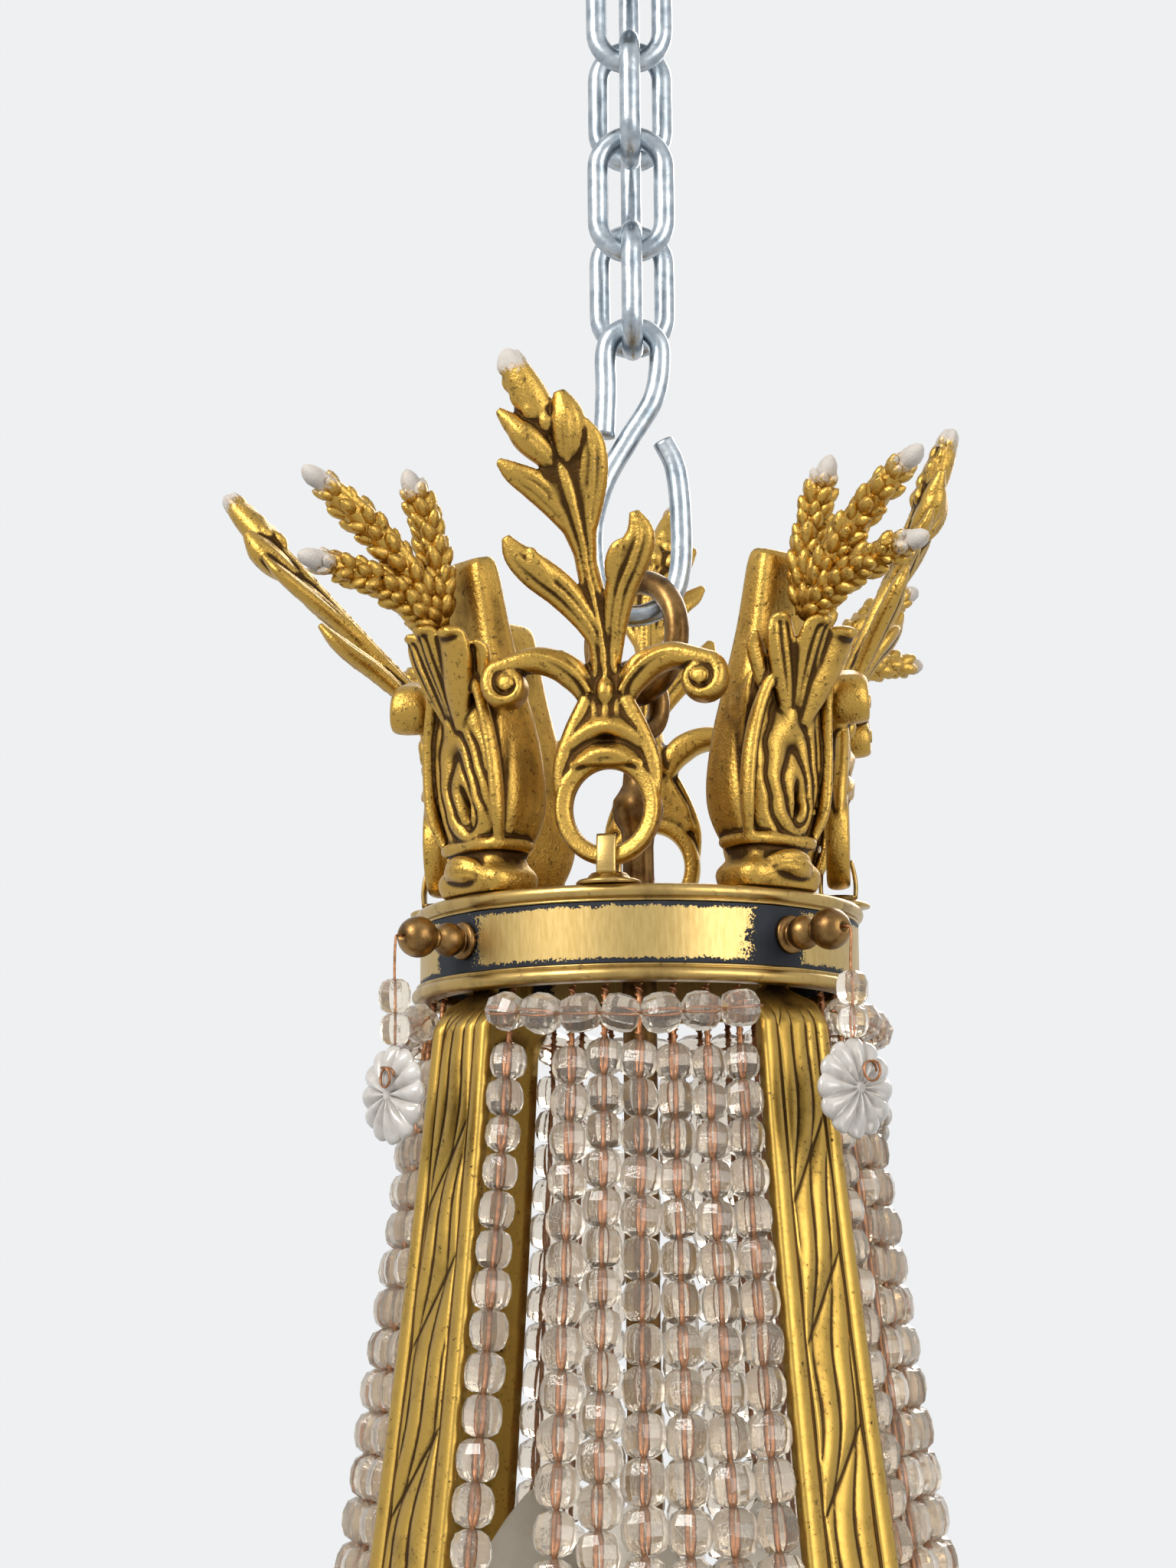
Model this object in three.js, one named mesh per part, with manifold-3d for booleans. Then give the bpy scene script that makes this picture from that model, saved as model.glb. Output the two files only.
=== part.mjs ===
// A gilt bronze basket chandelier with glass bead strands, hung on a doubled steel chain.
// Millimetres, +Z up. The origin is the middle of the ceiling plate's top face, where the object hangs.
// Crown and tent are built in a group whose z = 0 is the lower edge of the crown band. Azimuth 0 is the
// front, -Y, and grows towards +X. A piece made for the front has x along the band and -y outwards.
import * as THREE from 'three';
import { mergeVertices } from 'three/addons/utils/BufferGeometryUtils.js';
import Module from 'manifold-3d';

const wasm = await Module();
wasm.setup();

const GAP = 0.3; // clearance left where one piece seats on another
const QUARTERS = 4;

// Crown band
const BAND_R = 60; // outer radius of the lower rim
const BAND_H = 24;
const RIM_H = 4.2;
const TOP_RIM_INSET = 0.8; // the upper rim is this much smaller in radius
const FIELD_INSET = 2.2; // the dark field lies behind the lower rim
const DRUM_WALL = 3.2;
const RIM_LIP = 6; // radial width of a rim
const PLATE_T = 3; // crown plate

// Suspension
const CHAIN_TURN = 4.5; // the chain and hook are turned to the right of the front
const CHAIN_WIRE = 5.75;
const LINK_INNER_L = 27.8;
const LINK_INNER_W = 12.5;
const CHAIN_LEVELS = 4;
const STRAND_GAP = 24.6; // distance from the front strand to the rear one
const REAR_LIFT = 8; // the rear strand hangs from a shorter staple
const STAPLE_WIRE = 6;
const STAPLE_H = 30;
const CEILING_PLATE_R = 44;
const CEILING_PLATE_T = 5;
const HOOK_WIRE = 5.8;
const HOOK_TOP_R = 7.4; // bends measured to the middle of the wire
const HOOK_FOOT_R = 11.6;
const HOOK_RISE = 81; // from the middle of the foot bend to the middle of the top bend
const RING_WIRE = 6.6;
const RING_R = 15.4;
const RING_TURN = -45; // the ring stands across the hook at an angle
const RING_RIDE = 2.6; // it rides this much up the hook's bend for that
const EYE_WIRE = 6;
const EYE_R = 8.5;
const STEM_R = 4.5;
const EYE_TO_BAND = 62.6; // from the band's upper edge to the top of the eye's hole

// Ring palmettes
const PALMETTE_SEAT_R = 49.7; // inner face of the ring plate
const PALMETTE_T = 6.2;
const EYE_HALF_W = 9.2;
const EYE_HALF_H = 10.2;
const EYE_Z = 43.7;
const EYE_RIM = 4; // metal round the opening
const NECK_Z = 77;
const NECK_HALF_W = 3.8;
const VOLUTE_OUT = 24.6; // sideways from the middle
const VOLUTE_Z = 76;
const VOLUTE_R = 5.8;
const STALK_L = 89;
const STALK_BOW = 5.7; // the stalk's middle stands this far to one side
const LEAVES = [ // height at which a leaf or bud parts from the stalk, its tip's place, and its half width
  { from: 8, out: -13, up: 43.7, half: 4 },
  { from: 8, out: 20.4, up: 39.6, half: 4 },
  { from: 36, out: -8.6, up: 61.5, half: 3.4 },
  { from: 36, out: 16.2, up: 65, half: 3.3 },
  { from: 56, out: -4.4, up: 73.6, half: 3.2 },
  { from: 56, out: 11.3, up: 74, half: 3.4 },
];
const LEAF_RISE = 4; // tips stand this far outwards of the stalk
const PALMETTE_LEAN = [15, 22, 19, 41]; // outward lean of each stalk, bent by hand
const PALMETTE_SWAY = [-15, 4, -5, 6]; // sideways lean of each stalk
const PALMETTE_TURN = [-3.5, 0, 0, 0]; // how far each stands from its quarter

// Scroll consoles and wheat sheaves
const CONSOLE_SEAT_R = 49.5;
const CONSOLE_FOOT_H = 12;
const CONSOLE_TOP_Z = 112;
const CONSOLE_HALF_W = 12.5;
const EARS = [ // tip radius, tip height above the band's lower edge, half thickness
  { tipR: 76, tipZ: 131, fat: 4.9 },
  { tipR: 107, tipZ: 127, fat: 5.2 },
  { tipR: 108, tipZ: 105, fat: 4.6 },
];
const EAR_ROOT_R = 65;
const EAR_ROOT_Z = 92;

// Knob pins and pendants
const PIN_Z = 12.5;
const PIN_SHANK_R = 2;
const PIN_BALL_R = 4.3;
const PIN_END_R = 5.2;
const PIN_L = 20; // from the field to the end of the outer ball
const PIN_BORE_R = 1.3;
const PENDANT_WIRE_R = 0.7;
const PENDANT_BEADS = [{ drop: 15.3, r: 4.4 }, { drop: 23.5, r: 4 }];
const ROSETTE_R = 12.3;
const ROSETTE_T = 6.6;
const ROSETTE_DROP = 39.6;
const PETALS = 12;

// Stays and bead tent
const TENT_H = 286; // from the band's lower edge to the hoop
const TENT_TOP_R = 55.5;
const TENT_SLOPE = 0.105;
const TENT_FLARE = 0.00016;
const STAY_W_TOP = 21.4;
const STAY_W_FOOT = 37;
const STAY_T = 3.6;
const STAY_PROUD = 2; // middle of a stay beyond the middle of the strands
const STRANDS = 8; // in each panel
const STRAND_STEP = 8.6; // degrees
const STRAND_START = 13; // below the band
const STRAND_SHARE = 0.46; // radius of a strand against the spacing of the strands
const LACING_R = 1.75;
const LACING_REACH = 4; // degrees past the outermost strands, behind the edges of the stays
const MISSING_STRAND = 1; // counted from 0, in the front panel
const SWAG_BEADS = 7;
const SWAG_BEAD_R = 5.1;
const SWAG_R = 61.5;
const SWAG_STEP = 9.3; // degrees from bead to bead
const SWAG_DROP = 5.4; // middle of the string below the band
const SWAG_SAG = 1.2;

// Hoop, basket and finial
const HOOP_H = 11;
const HOOP_LIP = 13;
const BASKET_H = 82;
const BASKET_RIBS = 20;
const BASKET_VALLEY = 0.15; // half wall between ribs against that at a rib
const BASKET_BEAD_R = 4.6; // half the wall at the hoop
const BASKET_FOOT_BEAD_R = 2.4;
const FINIAL_R = 16;
const FINIAL_H = 44;

// Lamp cluster
const CLUSTER_Z = -214;
const CLUSTER_R = 36;
const CANDLE_R = 9;
const CANDLE_H = 34;
const BULB_R = 16;
const BULB_H = 62;
const LAMPS = 3;

// Values that follow
const topRimR = BAND_R - TOP_RIM_INSET;
const lugR = BAND_R - RIM_LIP - STAY_T / 2 - 1; // the stays' lugs, inside the rims
const fieldR = BAND_R - FIELD_INSET;
const drumInnerR = fieldR - DRUM_WALL;
const eyeTopZ = BAND_H + EYE_TO_BAND; // underside of the eye's crown
const ringZ = eyeTopZ - GAP - RING_WIRE / 2 + RING_R;
const hookFootZ = ringZ + RING_R - RING_WIRE / 2 - GAP - HOOK_WIRE / 2 - RING_RIDE;
const hookTopZ = hookFootZ + HOOK_RISE;
const linkFloorZ = hookTopZ - HOOK_WIRE / 2 - GAP; // upper face of the lowest link's lower bend
const levelTopZ = (level) => linkFloorZ + LINK_INNER_L + (CHAIN_LEVELS - level) * (LINK_INNER_L - GAP);
const stapleFloorZ = levelTopZ(1) - GAP;
const ceilingZ = stapleFloorZ - STAPLE_WIRE + STAPLE_H + CEILING_PLATE_T;
const tentR = (drop) => TENT_TOP_R + TENT_SLOPE * drop + TENT_FLARE * drop * drop;
const strandSpacing = (drop) => tentR(drop) * THREE.MathUtils.degToRad(STRAND_STEP);

// Materials
const metal = (colour, roughness) => new THREE.MeshStandardMaterial({ color: colour, roughness, metalness: 1 });
const gilt = metal(0xb08a3c, 0.38);
const wornGilt = metal(0x8f6d2c, 0.45);
const brass = metal(0x9a7a3a, 0.32);
const bronze = metal(0x6e5326, 0.42);
const zinc = metal(0xb4bcc2, 0.34);
const field = new THREE.MeshStandardMaterial({ color: 0x20242c, roughness: 0.5, metalness: 0.6 });
const glass = new THREE.MeshStandardMaterial({ color: 0xe6d8cd, roughness: 0.12, metalness: 0 });
const porcelain = new THREE.MeshStandardMaterial({ color: 0xe9e3d2, roughness: 0.4, metalness: 0 });

const model = new THREE.Group();
const hanging = new THREE.Group();
hanging.position.z = -ceilingZ;
model.add(hanging);

function add(name, geometry, material, parent = hanging) {
  const mesh = new THREE.Mesh(geometry, material);
  mesh.name = name;
  parent.add(mesh);
  return mesh;
}

function turned(azimuth, parent = hanging) {
  const group = new THREE.Group();
  group.rotation.z = THREE.MathUtils.degToRad(azimuth);
  parent.add(group);
  return group;
}

// Booleans on closed geometries
function solid(geometry) {
  const bare = geometry.clone();
  bare.deleteAttribute('normal');
  bare.deleteAttribute('uv');
  const merged = mergeVertices(bare, 1e-4);
  return new wasm.Manifold(new wasm.Mesh({
    numProp: 3,
    vertProperties: new Float32Array(merged.attributes.position.array),
    triVerts: new Uint32Array(merged.index.array),
  }));
}

function geometryOf(manifold) {
  const mesh = manifold.getMesh();
  const geometry = new THREE.BufferGeometry();
  geometry.setAttribute('position', new THREE.BufferAttribute(new Float32Array(mesh.vertProperties), 3));
  geometry.setIndex(new THREE.BufferAttribute(new Uint32Array(mesh.triVerts), 1));
  geometry.computeVertexNormals();
  return geometry;
}

function join(...geometries) {
  return geometryOf(geometries.map(solid).reduce((whole, piece) => whole.add(piece)));
}

function cut(geometry, ...tools) {
  return geometryOf(tools.map(solid).reduce((whole, tool) => whole.subtract(tool), solid(geometry)));
}

// Turns the faces of a closed surface outwards, going by the sign of its volume.
function outwards(geometry) {
  const { position } = geometry.attributes;
  const order = geometry.index.array;
  const [a, b, c] = [new THREE.Vector3(), new THREE.Vector3(), new THREE.Vector3()];
  let volume = 0;
  for (let i = 0; i < order.length; i += 3) {
    a.fromBufferAttribute(position, order[i]);
    b.fromBufferAttribute(position, order[i + 1]);
    c.fromBufferAttribute(position, order[i + 2]);
    volume += a.dot(b.cross(c));
  }
  if (volume < 0) {
    for (let i = 0; i < order.length; i += 3) {
      [order[i], order[i + 1]] = [order[i + 1], order[i]];
    }
  }
  return geometry;
}

// A closed surface from rings of points that follow each other: the ends are closed by a fan to their
// middles, or the last ring joins the first.
function skin(rings, loop = false) {
  const sides = rings[0].length;
  const points = rings.flat();
  const faces = [];
  const bands = loop ? rings.length : rings.length - 1;
  for (let i = 0; i < bands; i += 1) {
    const next = (i + 1) % rings.length;
    for (let j = 0; j < sides; j += 1) {
      const k = (j + 1) % sides;
      const [a, b, c, d] = [i * sides + j, i * sides + k, next * sides + k, next * sides + j];
      faces.push(a, b, c, a, c, d);
    }
  }
  const end = (rings.length - 1) * sides;
  if (!loop) {
    const middle = (ring) => ring.reduce((sum, p) => sum.add(p), new THREE.Vector3()).divideScalar(sides);
    const first = points.push(middle(rings[0])) - 1;
    const last = points.push(middle(rings[rings.length - 1])) - 1;
    for (let j = 0; j < sides; j += 1) {
      const k = (j + 1) % sides;
      faces.push(first, k, j);
      faces.push(last, end + j, end + k);
    }
  }
  const geometry = new THREE.BufferGeometry();
  geometry.setAttribute('position', new THREE.Float32BufferAttribute(points.flatMap((p) => [p.x, p.y, p.z]), 3));
  geometry.setIndex(faces);
  return outwards(geometry);
}

// A bar along a curve whose section is an oval or a rounded oblong: across gives the direction of its
// width, wide and thick its half sizes from 0 to 1 along the curve.
function bar(curve, across, wide, thick, { steps = 8, sides = 8, power = 1, loop = false } = {}) {
  const rings = [];
  const count = loop ? steps : steps + 1;
  for (let i = 0; i < count; i += 1) {
    const t = i / steps;
    const tangent = curve.getTangent(t);
    const side = across.clone().addScaledVector(tangent, -across.dot(tangent)).normalize();
    const up = new THREE.Vector3().crossVectors(tangent, side);
    const middle = curve.getPoint(t);
    const ring = [];
    for (let j = 0; j < sides; j += 1) {
      const angle = (2 * Math.PI * (j + 0.5)) / sides;
      const c = Math.sign(Math.cos(angle)) * Math.abs(Math.cos(angle)) ** power;
      const s = Math.sign(Math.sin(angle)) * Math.abs(Math.sin(angle)) ** power;
      ring.push(middle.clone().addScaledVector(side, wide(t) * c).addScaledVector(up, thick(t) * s));
    }
    rings.push(ring);
  }
  return skin(rings, loop);
}

const smooth = (...points) => new THREE.CatmullRomCurve3(points.map((p) => new THREE.Vector3(...p)));
const same = (value) => () => value;
const along = (...values) => (t) => { // straight runs between equally spaced values
  const place = t * (values.length - 1);
  const index = Math.min(Math.floor(place), values.length - 2);
  return THREE.MathUtils.lerp(values[index], values[index + 1], place - index);
};
const swell = (most, least) => (t) => least + (most - least) * Math.sin(Math.PI * t);
const SIDEWAYS = new THREE.Vector3(1, 0, 0);
const OUTWARDS = new THREE.Vector3(0, -1, 0);

// A turned piece: pairs of radius and height
function lathe(pairs, segments) {
  return outwards(new THREE.LatheGeometry(pairs.map(([r, z]) => new THREE.Vector2(r, z)), segments)
    .rotateX(Math.PI / 2));
}
const closed = (pairs) => [...pairs, pairs[0]];

// Round wire: a ring of points round each point of a path in the x-z plane
function wireRing(middle, outward, wire, sides = 6) {
  return Array.from({ length: sides }, (_, j) => {
    const turn = (2 * Math.PI * j) / sides;
    return middle.clone().addScaledVector(outward, (Math.cos(turn) * wire) / 2)
      .add(new THREE.Vector3(0, (Math.sin(turn) * wire) / 2, 0));
  });
}

// A welded link: two half-round bends, one above the other, joined by straight legs
function link(topZ, broad) {
  const bend = (LINK_INNER_W + CHAIN_WIRE) / 2;
  const leg = (LINK_INNER_L - LINK_INNER_W) / 2;
  const rings = [];
  for (const end of [1, -1]) {
    for (let i = 0; i <= 4; i += 1) {
      const angle = end * Math.PI * (i / 4 - 0.5);
      const outward = new THREE.Vector3(Math.sin(angle), 0, end * Math.cos(angle));
      rings.push(wireRing(outward.clone().multiplyScalar(bend).add(new THREE.Vector3(0, 0, end * leg)), outward, CHAIN_WIRE));
    }
  }
  const geometry = skin(rings, true);
  if (!broad) geometry.rotateZ(Math.PI / 2);
  return geometry.translate(0, 0, topZ - LINK_INNER_L / 2);
}

function torus(radius, wire, steps = 16) {
  return new THREE.TorusGeometry(radius, wire / 2, 6, steps).rotateX(Math.PI / 2);
}

// Ceiling plate: a round plate with a staple for each strand
function staple(drop, broad) {
  const half = (LINK_INNER_W + STAPLE_WIRE) / 2;
  const bend = drop - STAPLE_WIRE / 2 - half;
  const rings = [wireRing(new THREE.Vector3(-half, 0, 2), new THREE.Vector3(-1, 0, 0), STAPLE_WIRE)];
  for (let i = 0; i <= 6; i += 1) {
    const angle = (Math.PI * i) / 6;
    const outward = new THREE.Vector3(-Math.cos(angle), 0, -Math.sin(angle));
    rings.push(wireRing(outward.clone().multiplyScalar(half).add(new THREE.Vector3(0, 0, -bend)), outward, STAPLE_WIRE));
  }
  rings.push(wireRing(new THREE.Vector3(half, 0, 2), new THREE.Vector3(1, 0, 0), STAPLE_WIRE));
  const geometry = skin(rings);
  return broad ? geometry : geometry.rotateZ(Math.PI / 2);
}

const suspension = turned(CHAIN_TURN);
const plateUnder = ceilingZ - CEILING_PLATE_T;
const discProfile = [[0, 0], [CEILING_PLATE_R - 2, 0], [CEILING_PLATE_R, 2], [CEILING_PLATE_R, CEILING_PLATE_T],
  [0, CEILING_PLATE_T]];
add('ceiling_plate', join(
  lathe(discProfile, 24).translate(0, 0, plateUnder),
  staple(STAPLE_H, false).translate(0, 0, plateUnder),
  staple(STAPLE_H - REAR_LIFT, true).translate(0, STRAND_GAP, plateUnder),
), zinc, suspension);

for (let level = 1; level <= CHAIN_LEVELS; level += 1) {
  const broad = level % 2 === 1;
  add(`chain_front_${level}`, link(levelTopZ(level), broad), zinc, suspension);
  add(`chain_rear_${level}`, link(levelTopZ(level) + REAR_LIFT, !broad).translate(0, STRAND_GAP, 0), zinc, suspension);
}

// S-hook: free end, top bend, slanting shank, foot bend, free end
const hookCurve = smooth(
  [-8, 0, hookTopZ - 31],
  [-HOOK_TOP_R, 0, hookTopZ - 18],
  [-HOOK_TOP_R, 0, hookTopZ - HOOK_TOP_R],
  [-HOOK_TOP_R * 0.7, 0, hookTopZ - HOOK_TOP_R * 0.29],
  [0, 0, hookTopZ],
  [HOOK_TOP_R * 0.7, 0, hookTopZ - HOOK_TOP_R * 0.29],
  [HOOK_TOP_R, 0, hookTopZ - HOOK_TOP_R],
  [5.6, 0, hookTopZ - 20],
  [-1.5, 0, hookTopZ - 32],
  [-8.6, 0, hookTopZ - 45],
  [-HOOK_FOOT_R, 0, hookTopZ - 60],
  [-HOOK_FOOT_R * 0.75, 0, hookFootZ + HOOK_FOOT_R * 0.34],
  [0, 0, hookFootZ],
  [HOOK_FOOT_R * 0.75, 0, hookFootZ + HOOK_FOOT_R * 0.34],
  [HOOK_FOOT_R + 0.6, 0, hookFootZ + 13],
  [HOOK_FOOT_R + 0.9, 0, hookFootZ + 28],
  [HOOK_FOOT_R - 0.4, 0, hookFootZ + 41],
  [HOOK_FOOT_R - 3.6, 0, hookFootZ + 48.5],
);
add('s_hook', bar(hookCurve, OUTWARDS, same(HOOK_WIRE / 2), same(HOOK_WIRE / 2), { steps: 24, sides: 6 }), zinc, suspension);

const ringGroup = turned(RING_TURN, suspension);
add('suspension_ring', torus(RING_R, RING_WIRE).translate(0, 0, ringZ), bronze, ringGroup);

// Stem: an eye on a long turned rod that runs down to the finial
const stemTopZ = eyeTopZ + EYE_WIRE / 2 - 2 * EYE_R;
const finialTopZ = -TENT_H - HOOP_H - BASKET_H;
const stemProfile = [[0, finialTopZ - FINIAL_H * 0.4], [STEM_R, finialTopZ - FINIAL_H * 0.4], [STEM_R, BAND_H + 22],
  [STEM_R + 2.4, BAND_H + 26], [STEM_R + 2.4, BAND_H + 30], [STEM_R - 1, stemTopZ], [0, stemTopZ + 1]];
const eyeGroup = turned(RING_TURN + 90, suspension);
add('stem', join(
  torus(EYE_R, EYE_WIRE, 16).translate(0, 0, eyeTopZ + EYE_WIRE / 2 - EYE_R),
  lathe(stemProfile, 12),
), bronze, eyeGroup);

// Crown plate and the nut under it
const plateTop = BAND_H - 0.4;
const plateEdge = topRimR - RIM_LIP - GAP;
const bore = STEM_R + GAP;
add('crown_plate', lathe(closed([
  [bore, plateTop - PLATE_T - 2], [14, plateTop - PLATE_T - 2], [17, plateTop - PLATE_T],
  [plateEdge, plateTop - PLATE_T], [plateEdge, plateTop], [bore, plateTop],
]), 24), wornGilt);
const nutTop = plateTop - PLATE_T - 2 - GAP;
const nutBore = STEM_R / Math.cos(Math.PI / 6) + GAP; // a six-sided hole stays clear of the rod
add('stem_nut', lathe(closed([
  [nutBore, nutTop - 7], [8.5, nutTop - 7], [9.5, nutTop - 6], [9.5, nutTop - 1], [8.5, nutTop], [nutBore, nutTop],
]), 6), brass);

// Band: drum with the bores of the knob pins, and two moulded rims
const drumLow = RIM_H + GAP;
const drumHigh = BAND_H - RIM_H - GAP;
const drum = lathe(closed([[drumInnerR, drumLow], [fieldR, drumLow], [fieldR, drumHigh], [drumInnerR, drumHigh]]), 32);
const pinBores = Array.from({ length: QUARTERS }, (_, k) => new THREE.CylinderGeometry(
  PIN_SHANK_R + GAP, PIN_SHANK_R + GAP, 20, 8).translate(0, -fieldR, 0)
  .rotateZ(THREE.MathUtils.degToRad(45 + 90 * k)).translate(0, 0, PIN_Z));
add('band_drum', cut(drum, ...pinBores), field);

function rim(outer, low, up) { // a half-round bead with a fillet on the field's side
  const z = (share) => low + RIM_H * (up ? share : 1 - share);
  const pairs = [[outer - RIM_LIP, z(0)], [outer - 0.6, z(0)], [outer, z(0.25)], [outer, z(0.62)],
    [outer - 1, z(1)], [outer - RIM_LIP, z(1)]];
  return lathe(closed(up ? pairs : pairs.reverse()), 32);
}
add('bottom_rim', rim(BAND_R, 0, true), brass);
add('top_rim', rim(topRimR, BAND_H - RIM_H, false), brass);

// Ring palmette: a pierced teardrop plate with two rolled arms, a leafy stalk and a bud
function palmettePlate() {
  const w = EYE_HALF_W + EYE_RIM;
  const outline = new THREE.Shape();
  outline.moveTo(NECK_HALF_W, NECK_Z);
  outline.bezierCurveTo(NECK_HALF_W + 1, NECK_Z - 12, w, EYE_Z + 15, w, EYE_Z);
  outline.absarc(0, EYE_Z, w, 0, -Math.PI, true);
  outline.bezierCurveTo(-w, EYE_Z + 15, -NECK_HALF_W - 1, NECK_Z - 12, -NECK_HALF_W, NECK_Z);
  outline.closePath();
  const opening = new THREE.Path();
  opening.absellipse(0, EYE_Z, EYE_HALF_W, EYE_HALF_H, 0, 2 * Math.PI, false);
  outline.holes.push(opening);
  return new THREE.ExtrudeGeometry(outline, { depth: PALMETTE_T, bevelEnabled: false, curveSegments: 5 })
    .rotateX(Math.PI / 2).translate(0, -PALMETTE_SEAT_R, 0);
}

const mirrored = (points) => [...points.map(([x, y, z]) => [-x, y, z]), ...[...points].reverse()];

function palmetteArms() {
  const y = -PALMETTE_SEAT_R - PALMETTE_T / 2;
  const half = [[VOLUTE_OUT + VOLUTE_R, y - 5, VOLUTE_Z - 2], [VOLUTE_OUT, y - 5, VOLUTE_Z], [20, y - 4, NECK_Z + 4],
    [13, y - 2, NECK_Z + 5], [6, y - 0.5, NECK_Z], [2, y, NECK_Z - 7]];
  return bar(smooth(...mirrored(half)), OUTWARDS,
    along(3, VOLUTE_R, 4, 3.4, 3, 3, 3, 3, 3.4, 4, VOLUTE_R, 3),
    along(3, VOLUTE_R, 3.6, 2.6, 2.6, 2.8, 2.8, 2.6, 2.6, 3.6, VOLUTE_R, 3), { steps: 11, sides: 6 });
}

// A leaf or bud that parts from the stalk, swells past its middle and ends in a point
const stalkAside = (up) => STALK_BOW * Math.sin((Math.PI * Math.max(up, 0)) / STALK_L);

function leaf({ from, out, up, half }) {
  const root = stalkAside(from);
  const rise = up - from;
  const path = smooth(
    [root, 0, from],
    [root + (out - root) * 0.42, -LEAF_RISE * 0.5, from + rise * 0.45],
    [root + (out - root) * 0.84, -LEAF_RISE * 0.9, from + rise * 0.76],
    [out, -LEAF_RISE, up],
  );
  return bar(path, SIDEWAYS, along(1.6, half, half * 0.9, 0.5), along(1.5, 2, 1.8, 0.5), { steps: 3, sides: 6 });
}

function palmetteStalk() {
  const heights = [-4, 24, 50, STALK_L - 14, STALK_L];
  const stem = bar(smooth(...heights.map((up) => [stalkAside(up), 0, up])), SIDEWAYS,
    along(4, 3.4, 3.2, 5, 2.8, 3.6, 4.2, 0.8), along(3, 2.6, 2.4, 2.2, 2, 3.2, 3.4, 0.8), { steps: 7, sides: 6 });
  return join(stem, ...LEAVES.map(leaf));
}

const palmetteBody = join(palmettePlate(), palmetteArms());
const stalk = palmetteStalk();
const clipHalfW = 2.5;
const footTop = BAND_H + GAP + 3.6;
const clipTop = EYE_Z - EYE_HALF_H + 2.2;

for (let k = 0; k < QUARTERS; k += 1) {
  const group = turned(90 * k + PALMETTE_TURN[k]);
  const bent = stalk.clone()
    .rotateX(THREE.MathUtils.degToRad(PALMETTE_LEAN[k]))
    .rotateY(THREE.MathUtils.degToRad(PALMETTE_SWAY[k]))
    .translate(0, -PALMETTE_SEAT_R - PALMETTE_T / 2, NECK_Z - 2);
  add(`palmette_${k + 1}`, join(palmetteBody, bent), gilt, group);
  // Round foot with a clip that holds the lower edge of the ring
  const foot = lathe([[0, 0], [8.2, 0], [8.2, 1], [4.6, 2.6], [0, 3.6]], 10)
    .translate(0, -PALMETTE_SEAT_R - PALMETTE_T / 2, BAND_H + GAP);
  const clipHeight = clipTop - BAND_H - GAP - 1;
  const clipDepth = PALMETTE_T + 3;
  const block = new THREE.BoxGeometry(2 * clipHalfW, clipDepth, clipHeight)
    .translate(0, -PALMETTE_SEAT_R - PALMETTE_T / 2, BAND_H + GAP + 1 + clipHeight / 2);
  const lowEdge = EYE_Z - EYE_HALF_W - EYE_RIM;
  const room = new THREE.BoxGeometry(4 * clipHalfW, PALMETTE_T + 2 * GAP, EYE_Z - EYE_HALF_H - lowEdge + 1.4)
    .translate(0, -PALMETTE_SEAT_R - PALMETTE_T / 2, (EYE_Z - EYE_HALF_H + lowEdge + 0.6) / 2);
  add(`palmette_foot_${k + 1}`, cut(join(foot, block), room), brass, group);
}

// Scroll console: a stepped foot, a back bar that curves in and out, and a cartouche on its front
function consoleBody() {
  const footZ = BAND_H + GAP;
  const foot = lathe([[0, 0], [11.5, 0], [12.5, 2.5], [9.4, 8], [9.8, CONSOLE_FOOT_H], [0, CONSOLE_FOOT_H]], 10)
    .scale(1, 0.74, 1).translate(0, -CONSOLE_SEAT_R - 1, footZ);
  const back = bar(smooth(
    [0, -CONSOLE_SEAT_R, footZ + CONSOLE_FOOT_H - 2],
    [0, -CONSOLE_SEAT_R + 1, 46],
    [0, -CONSOLE_SEAT_R, 60],
    [0, -CONSOLE_SEAT_R - 2, 75],
    [0, -CONSOLE_SEAT_R - 3.4, 92],
    [0, -CONSOLE_SEAT_R - 6.5, CONSOLE_TOP_Z],
  ), SIDEWAYS, along(7, CONSOLE_HALF_W, CONSOLE_HALF_W, 10.5, 7, 6, 5.2), along(5.5, 7.3, 7.3, 6, 4, 3.2, 2.6),
  { steps: 5, sides: 8, power: 0.55 });
  const cartouche = bar(smooth([1, -54, footZ + CONSOLE_FOOT_H - 1], [2, -57.5, 50], [2, -58.5, 62], [1, -58.5, 74],
    [0, -61, 85], [0, -66, 93], [0, -73, 96]), SIDEWAYS, along(7, 13.5, 15, 13, 12, 14.5, 5), along(2.5, 3.6, 4.2, 4, 3, 2.2, 1),
  { steps: 5, sides: 6 });
  const boss = bar(smooth([3, -59, 42], [3, -62.4, 50], [3, -60, 60]), SIDEWAYS, swell(5.5, 1.5), swell(3, 1.2),
    { steps: 3, sides: 5 });
  return join(foot, back, cartouche, boss);
}

// A wheat ear: a spindle that swells in steps, one for each row of grains
function ear({ tipR, tipZ, fat }) {
  const start = new THREE.Vector3(0, -EAR_ROOT_R, EAR_ROOT_Z + 4);
  const stop = new THREE.Vector3(0, -tipR, tipZ);
  const rows = 3;
  const curve = new THREE.QuadraticBezierCurve3(start,
    start.clone().lerp(stop, 0.5).add(new THREE.Vector3(0, 2, 2.5)), stop);
  const grain = (t) => {
    const body = 0.25 + 0.75 * Math.min(t / 0.3, 1) * Math.min((1 - t) / 0.35 + 0.12, 1);
    return fat * body * (((t * rows * 2) % 2) < 1 ? 1 : 0.84);
  };
  return bar(curve, SIDEWAYS, grain, grain, { steps: rows * 2, sides: 5 });
}

const consoleShape = consoleBody();
const sheaf = join(...EARS.map(ear));
const sheafRoom = join(...EARS.map((each) => ear({ ...each, fat: each.fat + GAP })));
const consoleSeated = cut(consoleShape, sheafRoom);

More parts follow.
